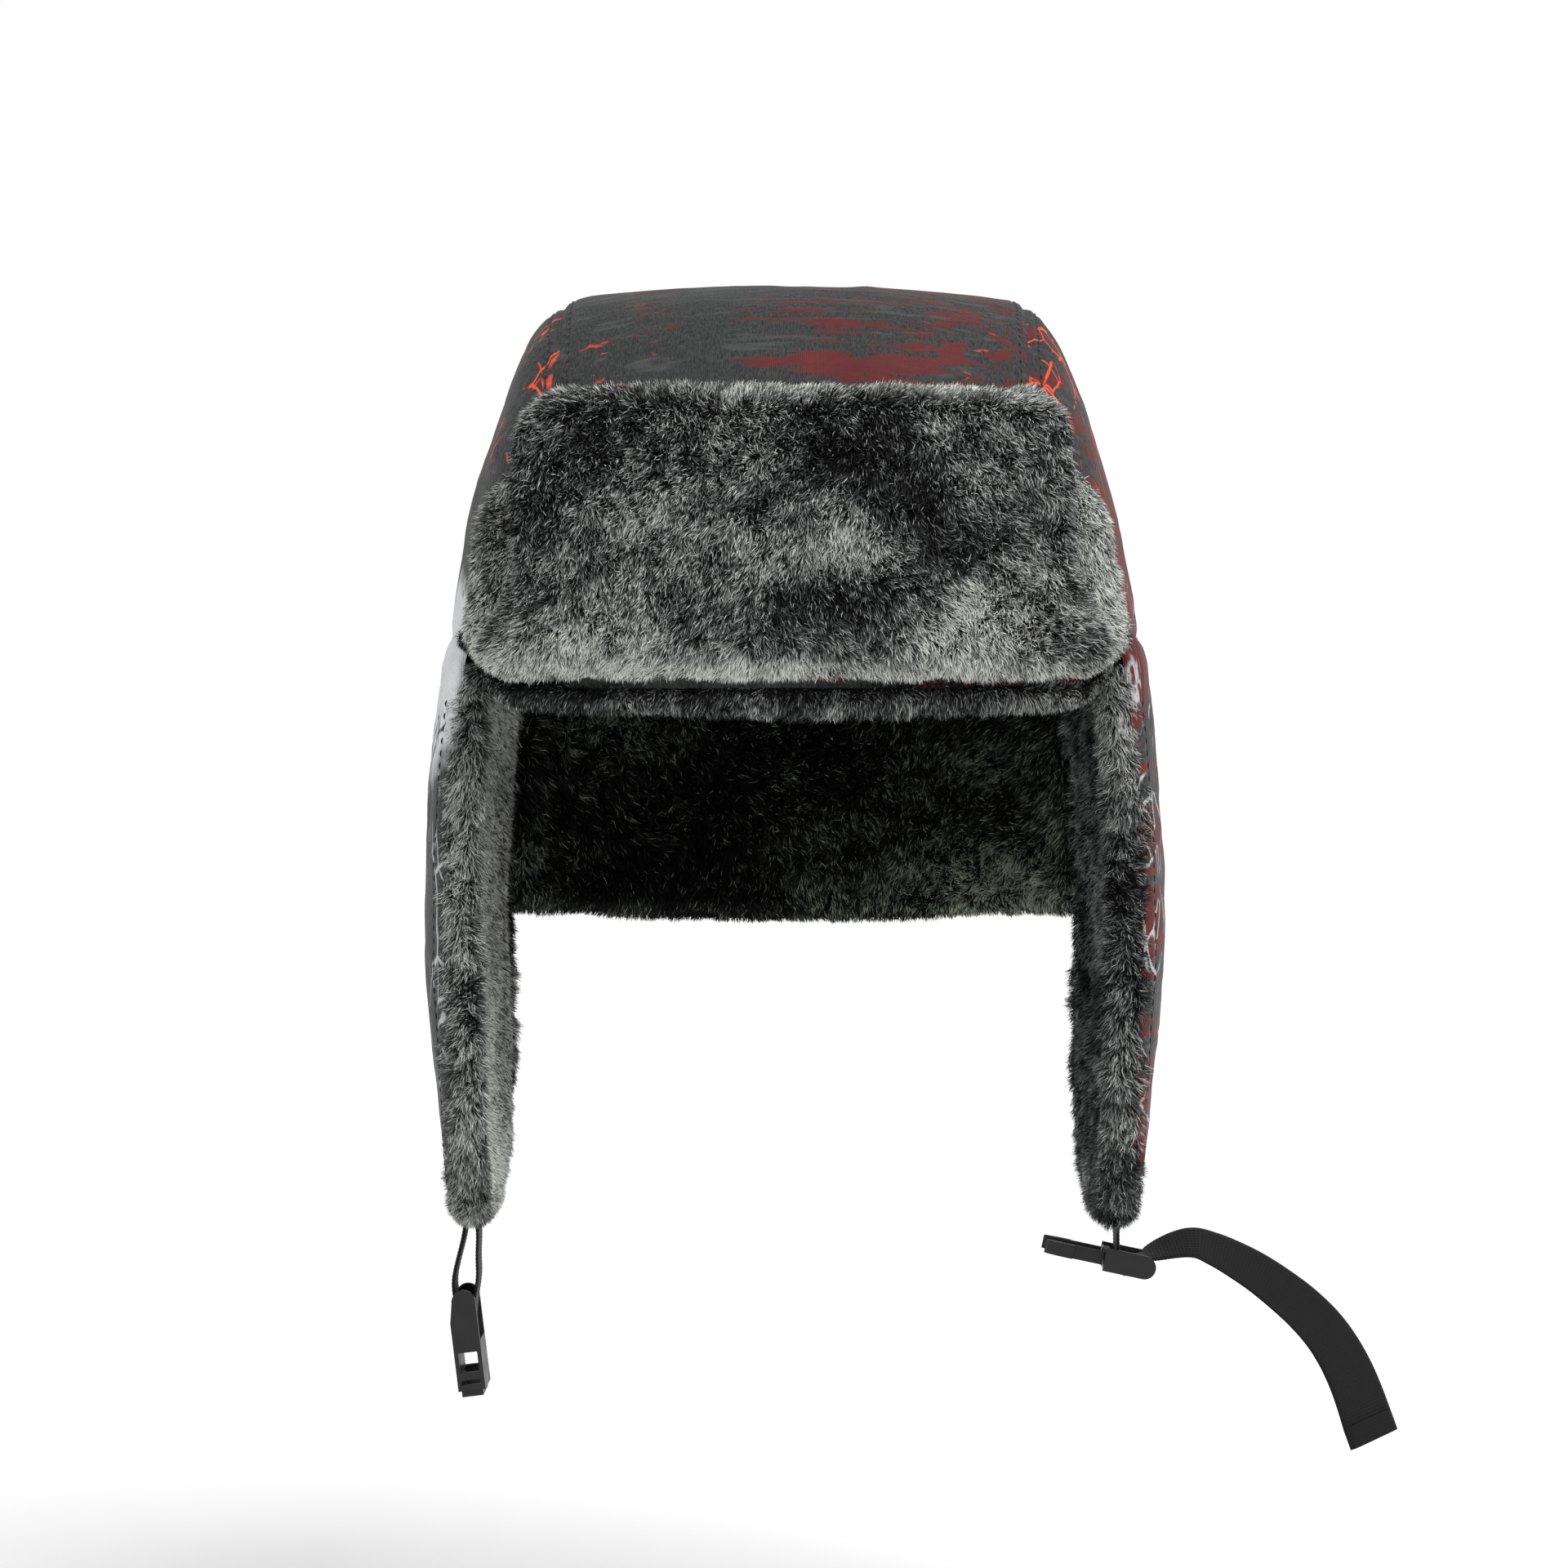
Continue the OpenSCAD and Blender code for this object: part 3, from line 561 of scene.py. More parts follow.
# Strand colours by tone, the share along the map's u
SILVER_TONES = (
    (0.00, (0.003, 0.003, 0.003)),
    (0.25, (0.013, 0.013, 0.013)),
    (0.43, (0.050, 0.052, 0.055)),
    (0.60, (0.200, 0.210, 0.215)),
    (0.76, (0.50, 0.52, 0.50)),
    (0.90, (0.82, 0.84, 0.79)),
    (1.00, (0.93, 0.95, 0.90)),
)
# Darker tones for the neck flap's pile: painted shade, as its lining lies in the hat's shade at the back; the
# lightest tones serve its painted highlights
PAINTED_SHADE_TONES = (
    (0.00, (0.0005, 0.0006, 0.0006)),
    (0.40, (0.0035, 0.004, 0.004)),
    (0.58, (0.016, 0.019, 0.017)),
    (0.76, (0.120, 0.145, 0.115)),
    (1.00, (0.60, 0.68, 0.54)),
)
M = {
    "top": softshell("softshell_print"),
    "left": softshell("softshell_side_left", -1),
    "right": softshell("softshell_side_right", 1),
    "fur": fur_material("silver_pile", SILVER_TONES, 0.06),
    # the neck flap's pile and its backing: darker copies, painted shade
    "neck_fur": fur_material("painted_shade_pile", PAINTED_SHADE_TONES, 0.15),
    "under": underfur("pile_backing", (0.004, 0.004, 0.004), (0.022, 0.022, 0.022)),
    "neck_under_painted_shade": underfur("painted_shade_pile_backing", (0.002, 0.002, 0.002), (0.008, 0.009, 0.008)),
    "lining": plain_weave("lining_satin", (0.014, 0.015, 0.017), (0.035, 0.037, 0.040), 900, 0.35),
    "band": plain_weave("sweatband_knit", (0.008, 0.008, 0.009), (0.030, 0.030, 0.032), 500, 0.85, 0.4),
    "webbing": plain_weave("webbing_polyester", (0.0025, 0.0025, 0.003), (0.010, 0.010, 0.011), 700, 0.6),
    "thread": plain_weave("sewing_thread", (0.008, 0.007, 0.007), (0.030, 0.026, 0.026), 1500, 0.5,
                          0.3, 0.0001),
    "plastic": plastic("acetal_matt"),
    "metal": metal("gunmetal"),
    "fleece": fleece("wadding_fleece"),
}


# ---- Grids with edges ----
def spaced(n, crowd):
    """n places from 0 to 1, closer together towards both ends by crowd."""
    s = np.linspace(0, 1, n)
    return (1 - crowd) * s + crowd * (0.5 - 0.5 * np.cos(np.pi * s))


def edge_distance(u, v, width, height, sides=(1, 1, 1, 1)):
    """Distance from a patch's edges, rounded at its corners; sides switches left, right, bottom, top."""
    far = 1e3
    parts = [u * width, (1 - u) * width, v * height, (1 - v) * height]
    parts = [np.where(on, np.maximum(d, 0) + 0.01, far) for on, d in zip(sides, parts)]
    return sum(d**-4.0 for d in parts) ** (-1 / 4.0)


def cushion(edge, radius):
    """Rounded rise from 0 at the edge to 1 at radius inside it."""
    return np.sqrt(1 - (1 - np.clip(edge / radius, 0, 1)) ** 2)


def outward_of(grid):
    """Rough outward direction at each point of the hat's outside."""
    out = grid.copy()
    out[..., 2] = np.clip(grid[..., 2] - 40, 0, None)
    return unit(out)


def wrinkles(p, amount=1.0):
    """Soft height of worn cloth, in millimetres."""
    stretched = p * np.array([0.75, 1.2, 1.2])
    h = 0.9 * noise(p, 46, 1) + 0.45 * noise(stretched, 19, 2) + 0.5 * (crease(stretched, 26, 3) - 0.3)
    return amount * (h + 0.12 * noise(p, 6, 4))


def seam_dip(d, p, depth=1.5, pucker=0.55):
    """Cloth turning in at a seam d millimetres away, with small puckers along it."""
    dip = -1.3 * depth * np.exp(-((d / 1.8) ** 2)) - 0.7 * np.exp(-(((d - 3.4) / 0.9) ** 2))
    fold = pucker * noise(p * np.array([0.4, 1, 1]), 5.5, 5) * np.exp(-d / 7) * (1 - np.exp(-d / 1.2))
    return dip + fold


def cloth(name, grid, height, mat, slot, **kind):
    """Outer cloth raised by height from a grid on the hat's surface."""
    n = normals(grid, outward_of(grid))
    outer = grid + n * height[..., None]
    finish_piece(shell(name, outer, outer - n * CLOTH_T), mat, slot, **kind)
    return outer, n


# ---- Stitches ----
def stitches(name, paths, body, replaces=()):
    """A row of separate stitches along each path, a pair of (points, normals) in millimetres."""
    length, gap, radius = 2.9, 1.1, 0.42
    rings, around = 5, 6
    shape = np.array([0.25, 0.85, 1.0, 0.85, 0.25])
    lift = np.array([-0.28, 0.12, 0.22, 0.12, -0.28])
    turn = 2 * np.pi * np.arange(around) / around
    verts, faces = [], []
    for points, ups in paths:
        s = np.concatenate([[0], np.cumsum(np.linalg.norm(np.diff(points, axis=0), axis=1))])
        for k in range(int(s[-1] // (length + gap))):
            at = k * (length + gap) + length * np.linspace(0, 1, rings)
            p = np.stack([np.interp(at, s, points[:, c]) for c in range(3)], 1)
            up = unit(np.stack([np.interp(at, s, ups[:, c]) for c in range(3)], 1))
            along = unit(np.gradient(p, axis=0))
            wide = unit(np.cross(along, up))
            p = p + up * lift[:, None]
            ring = p[:, None] + radius * shape[:, None, None] * (
                wide[:, None] * np.cos(turn)[None, :, None] + up[:, None] * np.sin(turn)[None, :, None]
            )
            first = len(verts) * rings * around
            verts.append(ring.reshape(-1, 3))
            for i in range(rings - 1):
                for j in range(around):
                    a, b = first + i * around + j, first + i * around + (j + 1) % around
                    faces.append([a, b, b + around, a + around])
    ob = mesh_object(name, np.concatenate(verts), [np.array(faces)])
    finish_piece(ob, M["thread"], "thread", body, replaces)


def along_grid(grid, normal, us, vs, path):
    """Points and normals on a grid at places (u, v)."""
    path = np.array(path)
    cu = np.interp(path[:, 0], us, np.arange(len(us)))
    rv = np.interp(path[:, 1], vs, np.arange(len(vs)))
    c0, r0 = np.minimum(cu.astype(int), len(us) - 2), np.minimum(rv.astype(int), len(vs) - 2)
    fc, fr = (cu - c0)[:, None], (rv - r0)[:, None]

    def mixed(a):
        return (a[r0, c0] * (1 - fc) * (1 - fr) + a[r0, c0 + 1] * fc * (1 - fr)
                + a[r0 + 1, c0] * (1 - fc) * fr + a[r0 + 1, c0 + 1] * fc * fr)
    return mixed(grid), unit(mixed(normal))


# ---- Fur ----
def scatter(grid, normal, density, extra=None):
    """Random roots on a grid: their points and normals, and extra's values there if it is given."""
    a, b = grid[1:, 1:] - grid[:-1, :-1], grid[1:, :-1] - grid[:-1, 1:]
    area = 0.5 * np.linalg.norm(np.cross(a, b), axis=-1)
    count = int(area.sum() * density)
    cells = rng.choice(area.size, count, p=(area / area.sum()).ravel())
    i, j = np.divmod(cells, area.shape[1])
    f, g = rng.random((2, count, 1))

    def mixed(x):
        return (x[i, j] * (1 - f) * (1 - g) + x[i, j + 1] * f * (1 - g)
                + x[i + 1, j] * (1 - f) * g + x[i + 1, j + 1] * f * g)
    if extra is None:
        return mixed(grid), unit(mixed(normal))
    return mixed(grid), unit(mixed(normal)), mixed(extra[..., None])[:, 0]


def strands(name, root, up, flow, length, tone, look, body, width, lean, clump, wild):
    """Fine tapering strands. flow is the way the pile is brushed and lean how far it lies down."""
    n = len(root)
    length = (length * rng.uniform(0.7, 1.15, n))[:, None]
    drift = np.stack([0.9 * noise(root, 2.8, s) + 0.5 * noise(root, 11, s + 3) for s in (31, 32, 33)], -1)
    brush = flow - up * np.sum(flow * up, -1, keepdims=True)
    grow = unit(up + brush * lean * 0.6 + drift * clump * 0.5 + rng.normal(0, wild * 0.6, (n, 3)))
    bend = unit(up * 0.8 + brush * lean + drift * clump + rng.normal(0, wild, (n, 3)))
    across = unit(np.cross(grow, rng.normal(size=(n, 3))))
    facing = np.sum(np.cross(across, grow) * up, -1, keepdims=True)
    across = across * np.where(facing < 0, -1, 1)
    root = root - up * 0.6
    mid = root + grow * length * 0.55
    tip = mid + bend * length * 0.5
    half = across * width * rng.uniform(0.7, 1.2, n)[:, None] / 2
    verts = np.stack([root - half, root + half, mid + half * 0.8, mid - half * 0.8, tip], 1)
    first = 5 * np.arange(n)[:, None]
    quads, tris = first + np.array([0, 1, 2, 3]), first + np.array([3, 2, 4])
    tone = np.clip(tone, 0.02, 0.98)
    u = np.stack([tone - 0.01, tone + 0.01, tone + 0.01, tone - 0.01, tone], 1)
    v = np.tile([0.02, 0.02, 0.5, 0.5, 0.98], (n, 1))
    uvs = np.stack([u, v], -1).reshape(-1, 2)
    ob = mesh_object(name, verts.reshape(-1, 3), [quads, tris], uvs=uvs)
    soft = unit(up[:, None] * 0.75 + unit(np.cross(across, grow))[:, None] * 0.5 + np.zeros((n, 5, 3)))
    ob.data.normals_split_custom_set_from_vertices(soft.reshape(-1, 3).astype(np.float32))
    return finish_piece(ob, M[look], look, body)


def in_parts(name, root, up, flow, length, tone, *rest, limit=60000, **kw):
    """Strands as several pieces, so that each keeps every one of its faces."""
    parts = max(1, math.ceil(len(root) / limit))
    for k in range(parts):
        pick = slice(k, None, parts)
        label = f"{name}_{k + 1}" if parts > 1 else name
        strands(label, root[pick], up[pick], flow[pick], length[pick], tone[pick], *rest, **kw)


DOWN = np.array([0.0, 0.0, -1.0])


def painted_light_spots(p, *places):
    """Soft patches of painted light and painted shade, placed as seen from the front: weight, x, z,
    half-width, half-height.
    """
    return sum(k * np.exp(-((p[:, 0] - x) / wide) ** 2 - ((p[:, 2] - z) / tall) ** 2)
               for k, x, z, wide, tall in places)


def mottle(p, seed, strong=1.0):
    """Uneven tone of the pile, from hand-sized patches down to single tufts."""
    scales = ((0.16, 34), (0.12, 13), (0.09, 5), (0.10, 2.3))
    return strong * sum(k * noise(p, size, seed + i) for i, (k, size) in enumerate(scales))


def glints(count, share, lift):
    """A few strands painted lighter: painted glints."""
    return lift * (rng.random(count) < share)


# ==== Camera ====
CAMERA_DISTANCE = 1.6
FIELD = 0.519
camera = bpy.data.objects.new("camera", bpy.data.cameras.new("camera"))
camera.location = (-0.0032, -CAMERA_DISTANCE, -0.0297)
camera.rotation_euler = (math.radians(90), 0, 0)
camera.data.sensor_width = 36
camera.data.lens = 36 * CAMERA_DISTANCE / FIELD
bpy.context.collection.objects.link(camera)
bpy.context.scene.camera = camera


# ==== Crown ====
def stitch_line(outer, n, line):
    """Points of a grid where the distances in line come nearest the seam's topstitching."""
    path, ups = [], []
    for j in range(line.shape[1]):
        i = int(np.argmin(np.abs(line[:, j] - SEAM_STITCH)))
        if abs(line[i, j] - SEAM_STITCH) < 1.2:
            path.append(outer[i, j])
            ups.append(n[i, j])
    return np.array(path), np.array(ups)


def crown_top():
    """Top panel, from the front edge over the top to the fold line; gives its two topstitched lines."""
    ts = 2 * spaced(150, 0.5) - 1
    angles = np.linspace(-90, BACK_ANGLE, 260)
    a, t = np.meshgrid(angles, ts, indexing="ij")
    grid = top_point(a, t)
    d = (1 - np.abs(t)) * SEAM_X
    puff = 0.8 * (1 - t * t) + 1.4 * cushion(d, 15)
    height = puff + wrinkles(grid) * smooth(d / 10) + seam_dip(d, grid)
    outer, n = cloth("crown_top_cloth", grid, height, M["top"], "softshell", body="crown",
                     replaces=("crown_top_panel", "crown_wadding_top"))
    rows = []
    for side in SIDES:
        place = side * (1 - SEAM_STITCH / SEAM_X)
        path = [(place, x) for x in np.linspace(-89, BACK_ANGLE - 1, 500)]
        rows.append(along_grid(outer, n, ts, angles, path))
    return rows


def crown_side(side, word, top_row):
    """Side panel, and the topstitching on both sides of its seam."""
    phis = PHI_SEAM * (2 * spaced(170, 0.35) - 1)
    share = spaced(130, 0.3)
    phi = np.tile(phis, (len(share), 1))
    z0 = crown_edge(phi)
    a0 = np.degrees(np.arccos((z0 / SEAM_H) ** (DOME / 2)))
    z = SEAM_H * np.cos(np.radians(a0 * (1 - share[:, None] * 0.995))) ** (2 / DOME)
    grid = side_wall(phi, z, 0.0, side)
    y, up = grid[..., 1], np.clip(grid[..., 2], 0, None)
    reach = ((np.abs(y) / SEAM_D) ** DOME + (up / SEAM_H) ** DOME) ** (1 / DOME)
    d = np.clip((1 / np.maximum(reach, 0.05) - 1) * np.hypot(y, up), 0, 200)
    height = wrinkles(grid + 200) * smooth(d / 10) + seam_dip(d, grid) * np.where(d < 60, 1, 0)
    height = height + 1.3 * cushion(d, 14) * smooth(grid[..., 2] / 60)
    low = np.clip(grid[..., 2] - z0, 0, None)
    height = height - 0.8 * np.exp(-((low / 2.0) ** 2))
    outer, n = cloth(f"crown_side_cloth_{word}", grid, height, M[word], "softshell_side", body="crown",
                     replaces=(f"crown_side_panel_{word}", f"crown_wadding_{word}"))
    stitches(f"top_seam_stitches_{word}", [top_row, stitch_line(outer, n, d)], "crown",
             (f"top_seam_thread_{word}",))


def quilt(s, r, pitch=24.0, depth=1.5):
    """Diamond quilting: 0 along the stitch lines."""
    return depth * np.sqrt(np.abs(np.sin(np.pi * (s + r) / pitch) * np.sin(np.pi * (s - r) / pitch)))


def quilted(name, grid, s, r, replaces):
    """Padded lining on a grid, with s and r its distances across and down."""
    n = normals(grid, -outward_of(grid))
    inner = grid + n * (quilt(s, r)[..., None] + 0.3)
    finish_piece(shell(name, inner, inner - n * 1.0), M["lining"], "quilted_lining", "crown", replaces)


def lining():
    a, t = np.meshgrid(np.linspace(-90, BACK_ANGLE, 200), 2 * spaced(110, 0.3) - 1, indexing="ij")
    grid = top_point(a, t, LINING_IN)
    steps = np.linalg.norm(np.diff(grid, axis=0), axis=-1)
    run = np.concatenate([np.zeros((1, a.shape[1])), np.cumsum(steps, axis=0)])
    quilted("crown_lining_quilted_top", grid, grid[..., 0], run, ("crown_lining_top",))
    for side, word in SIDES.items():
        phi, s = np.meshgrid(PHI_SEAM * np.linspace(-1, 1, 120), np.linspace(0, 1, 90))
        z0 = crown_edge(phi)
        z = z0 + (SEAM_H - LINING_IN - 0.5 - z0) * np.sin(np.pi / 2 * s)
        grid = side_wall(phi, z, LINING_IN, side)
        quilted(f"crown_lining_quilted_{word}", grid, grid[..., 1], grid[..., 2], (f"crown_lining_{word}",))


def ring_place(u, height, off):
    """Point on the wall all the way round: u from the centre back, height above the crown's edge."""
    u = np.mod(u, 1.0)
    back, side = 0.12, 0.26
    spans = (back, back + side, 1 - back - side, 1 - back)
    t_back = np.where(u < 0.5, u / back, (u - 1) / back)
    phi_r = PHI_SEAM * (1 - 2 * (u - spans[0]) / side)
    phi_l = PHI_SEAM * (1 - 2 * (spans[3] - u) / side)
    t_front = 1 - 2 * (u - spans[1]) / (spans[2] - spans[1])
    right, left = (u >= spans[0]) & (u < spans[1]), (u > spans[2]) & (u <= spans[3])
    phi = np.clip(np.where(right, phi_r, phi_l), -PHI_SEAM, PHI_SEAM)
    front = (u >= spans[1]) & (u <= spans[2])
    z0 = np.where(front, 0.0, np.where(right | left, crown_edge(phi), FOLD_Z))
    z = z0 + height
    arc = side_wall(phi, z, off, np.where(left, -1.0, 1.0))
    strip_f = strip_wall(np.clip(t_front, -1, 1), z, off, -1)
    strip_b = strip_wall(np.clip(t_back, -1, 1), z, off, 1)
    out = np.where(front[..., None], strip_f, strip_b)
    return np.where((right | left)[..., None], arc, out)


def sweatband():
    low, tall = 2.6, 27.0
    u, v = np.meshgrid(np.linspace(0.0, 1.0, 361), spaced(24, 0.6))
    edge = np.minimum(v, 1 - v) * tall
    puff = 0.9 * cushion(edge, 4) + 0.25 * np.sin(u * 2 * np.pi * 60) * np.exp(-edge / 2)
    inner = ring_place(u, low + tall * v, BAND_IN + puff)
    tape = shell("sweatband_tape", inner, ring_place(u, low + tall * v, BAND_IN - 0.5))
    finish_piece(tape, M["band"], "sweatband_fabric", "crown", ("sweatband",))


# ==== Flaps ====
def fur_pad(name, place, cells, size, base, thick, radius, look, body, replaces, top=0):
    """Padded body of a fur-lined flap, flat against its cloth at base and swelling to thick."""
    outward = np.sign(base)
    u, v = np.meshgrid(*(spaced(n, 0.75) for n in cells))
    edge = edge_distance(u, v, *size, (1, 1, 1, top))
    flat = place(u, v, base + 0 * u)
    lumps = 0.9 * noise(flat, 21, 8) + 0.5 * noise(flat, 9, 9)
    rise = cushion(edge, radius) * thick + lumps * smooth(edge / 8)
    grid = place(u, v, base + outward * rise)
    backing = M["neck_under_painted_shade"] if look == "neck_fur" else M["under"]
    ob = finish_piece(shell(name, grid, flat), backing, look, body, replaces)
    n = normals(grid, grid - place(u, v, base - outward * 3 + 0 * u))
    away = unit(grid - grid.mean((0, 1)))
    return grid, unit(n + away * (1 - smooth(edge / radius))[..., None] * 0.6), edge


def hem_and_fold(height, grid, edge):
    """Presses a flap's topstitching and its fold line into the height of its cloth."""
    fold = np.clip(FOLD_Z - grid[..., 2], 0, None)
    height = height - 0.9 * np.exp(-((fold / 2.4) ** 2)) + 0.8 * np.exp(-(((fold - 9) / 6) ** 2))
    return height - 0.35 * np.exp(-(((edge - HEM_STITCH) / 1.0) ** 2))


def batting(name, place, u, v, size, rise, body, replaces):
    """Wadding between a flap's cloth and its fur."""
    soft = cushion(edge_distance(u, v, *size), 12)
    inner, outer = place(u, v, WADDING_IN + 0.4 + rise * soft), place(u, v, WADDING_IN - 0.8 * soft)
    finish_piece(shell(name, inner, outer), M["fleece"], "wadding", body, replaces)


def fold_tape(name, wall, columns, depth, blend):
    """Strip of lining that closes a fold on the inside."""
    u, v = np.meshgrid(np.linspace(0, 1, columns), np.linspace(0, 1, 14))
    z = FOLD_Z + 4 - 12 * v
    off = depth - 1.4 * np.sin(np.pi * v)
    tape = shell(name, wall(u, z, off + 1.0), wall(u, z, off))
    finish_piece(tape, M["band"], "sweatband_fabric", blend=blend)


# Painted light and painted shade on the pile
FRONT_PAINTED_LIGHT = (
    (0.52, 64, 24, 28, 13), (0.26, 0, 6, 120, 9), (0.16, 50, 62, 14, 9), (0.20, -9, 88, 6, 8),
    (0.12, -80, 55, 25, 30), (0.14, -85, 12, 25, 12), (-0.20, -5, 66, 60, 16), (-0.14, 5, 28, 40, 9),
)
NECK_PAINTED_LIGHT = (
    (0.36, 66, -24, 16, 10), (0.75, 72, -64, 30, 15), (0.2, -85, -50, 14, 40), (0.3, -60, -4, 26, 12),
)


def front_flap():
    grid, n, edge = fur_pad(
        "front_flap_pad", front_place, (150, 90), (205, 88), -7.0, 9.0, 9, "fur", "front_flap",
        ("front_flap_fur", "front_flap_wadding"), top=1)
    root, up, inset = scatter(grid, n, 6.2, edge)
    swirl = np.stack([noise(root, 42, 41), 0 * root[:, 0], 0.5 * noise(root, 42, 42)], -1)
    flow = DOWN * 0.75 + swirl * 0.9
    rim = 1 - smooth(inset / 7)
    # painted sheen along the flap's edges, painted pools of light and shade, and a few painted glints; the
    # mottle is the pile's own uneven tone
    tone = 0.46 + mottle(root, 50, 1.5) + 0.44 * rim + painted_light_spots(root, *FRONT_PAINTED_LIGHT)
    tone = tone + rng.normal(0, 0.23, len(root)) + glints(len(root), 0.07, 0.35)
    length = 4.6 + 1.0 * noise(root, 9, 61) - 0.9 * rim
    in_parts("front_flap_pile", root, up, flow, length, tone, "fur", "front_flap",
             width=0.38, lean=0.85, clump=0.7, wild=0.3)
    # cloth face, against the crown
    u, v = np.meshgrid(spaced(90, 0.5), spaced(60, 0.5))
    flat = front_place(u, v, -2.4 + 0 * u)
    edge = edge_distance(u, v, *FRONT_SIZE)
    outer = front_place(u, v, -2.4 - 1.6 * (1 - cushion(edge, 5)) - 0.25 * wrinkles(flat))
    face = shell("front_flap_cloth", outer, front_place(u, v, -6.8 + 0 * u))
    finish_piece(face, M["top"], "softshell", "front_flap", ("front_flap_facing",))


def brow():
    """Short fur lip along the crown's front edge."""
    side_share = 0.16

    def place(u, v, off):
        arc_l, arc_r = u < side_share, u > 1 - side_share
        s = np.where(arc_l, u, 1 - u) / side_share
        phi = PHI_BROW_END + (-PHI_SEAM - PHI_BROW_END) * np.clip(s, 0, 1)
        t = np.clip(-1 + 2 * (u - side_share) / (1 - 2 * side_share), -1, 1)
        sag = np.where(arc_l | arc_r, 0.0, 2.6 * (1 - t * t))
        z = np.where(arc_l | arc_r, crown_edge(phi), 0.0) - 5.4 - sag + (7.2 + sag) * v
        arc = side_wall(phi, z, off, np.where(arc_l, -1.0, 1.0))
        return np.where((arc_l | arc_r)[..., None], arc, strip_wall(t, z, off, -1))

    u, v = np.meshgrid(np.linspace(0, 1, 220), spaced(26, 0.5))
    edge = np.minimum(v, 1 - v) * 9 + 0.01
    face = place(u, v, 1.6 - 3.6 * cushion(edge, 4) + 0.4 * noise(place(u, v, 0 * u), 11, 12))
    back = place(u, v, 6.5 + 3.5 * cushion(edge, 4))
    ob = finish_piece(shell("brow_lip_pad", face, back), M["under"], "fur", "crown", ("brow_fur_band",))
    n = normals(face, face * np.array([1, 1, 0]))
    n = unit(n + DOWN * (1 - smooth(v / 0.5))[..., None] * 1.2)
    root, up = scatter(face, n, 6.0)
    ends = smooth((np.abs(root[:, 0]) - 78) / 12)
    tone = 0.50 + mottle(root, 70, 1.3) + 0.18 * ends + rng.normal(0, 0.2, len(root))
    flow = DOWN * 0.9 + np.stack([0.4 * noise(root, 20, 43), 0 * root[:, 0], 0 * root[:, 0]], -1)
    length = 3.3 + 0.8 * noise(root, 7, 62) - 1.2 * ends
    strands("brow_lip_pile", root, up, flow, length, tone, "fur", "crown",
            width=0.32, lean=0.9, clump=0.6, wild=0.22)
    n = normals(back, -face * np.array([1, 1, 0]))
    n = unit(n + DOWN * (1 - smooth(v / 0.6))[..., None])
    root, up = scatter(back, n, 3.0)
    tone = 0.34 + mottle(root, 71) + rng.normal(0, 0.1, len(root))
    flow = np.tile(DOWN, (len(root), 1))
    strands("brow_lip_inner_pile", root, up, flow, 3.2 + 0 * tone, tone, "fur", "crown",
            width=0.32, lean=0.7, clump=0.5, wild=0.25)


def ear_cloth(side, word, blend):
    """Outer cloth, one surface with the side panel at the fold, and the topstitching round its edge."""
    us, vs = spaced(130, 0.5), spaced(170, 0.3)
    u, v = np.meshgrid(us, vs)
    tuck = 0.012
    grid = ear_place(side, FOLD_Z)(tuck + (1 - 2 * tuck) * u, v, 0 * u)
    edge = edge_distance(u, v, *EAR_SIZE, (1, 1, 1, 0))
    height = wrinkles(grid + 300 * side, 0.9) * smooth(edge / 12) - 2.6 * (1 - cushion(edge, 6))
    outer, n = cloth(f"ear_flap_{word}_cloth", grid, hem_and_fold(height, grid, edge), M[word],
                     "softshell_side", blend=blend, replaces=(f"ear_flap_{word}_shell",))
    inset_u, inset_v = HEM_STITCH / EAR_SIZE[0], 0.235
    path = [(inset_u, x) for x in np.linspace(0.93, inset_v, 160)]
    path += [(x, inset_v) for x in np.linspace(inset_u, 1 - inset_u, 60)]
    path += [(1 - inset_u, x) for x in np.linspace(inset_v, 0.93, 160)]
    points, ups = along_grid(outer, n, us, vs, path)
    below = points[:, 2] < FOLD_Z - 16
    stitches(f"ear_flap_{word}_stitches", [(points[below], ups[below])], f"ear_flap_{word}")


def ear_flap(side, word):
    body = f"ear_flap_{word}"
    pivot = side * (CROWN_W - 2) * MM
    blend = ("crown", body, (pivot, 0, FOLD_Z * MM), (pivot, 0, (FOLD_Z - 14) * MM))
    ear_cloth(side, word, blend)
    u, v = np.meshgrid(0.03 + 0.94 * spaced(40, 0.6), 0.10 + 0.88 * spaced(50, 0.6))
    batting(f"{body}_batting", ear_place(side, FOLD_Z - 6), u, v, (120, 180), 2.6, body, (f"{body}_wadding",))
    place = ear_place(side, FOLD_Z - FOLD_GAP)
    grid, n, _ = fur_pad(f"{body}_pad", place, (90, 120), (125, 184), EAR_FUR_IN, 7.0, 7, "fur", body,
                         (f"{body}_fur",))
    root, up = scatter(grid, n, 4.4)
    # the left flap's face is painted pale and even, painted light from the right falling on it; the right
    # one's is mottled
    face_tone, spread = (1.12, 0.2) if side < 0 else (0.62, 1.1)
    tone = face_tone + mottle(root, 80 + side, spread) + rng.normal(0, 0.07, len(root))
    flow = DOWN * 0.9 + 0.5 * np.stack([0 * tone, noise(root, 30, 45), 0 * tone], -1)
    in_parts(f"{body}_pile", root, up, flow, 2.8 + 0.6 * noise(root, 8, 63), tone, "fur", body,
             width=0.30, lean=0.9, clump=0.5, wild=0.25)
    fur_rim(f"{body}_rim", place, side, body)

    def wall(u, z, off):
        return side_wall(PHI_EAR_FRONT + (PHI_EAR_REAR - PHI_EAR_FRONT) * u, z, off, side)
    fold_tape(f"ear_fold_tape_{word}", wall, 80, 8.2, blend)


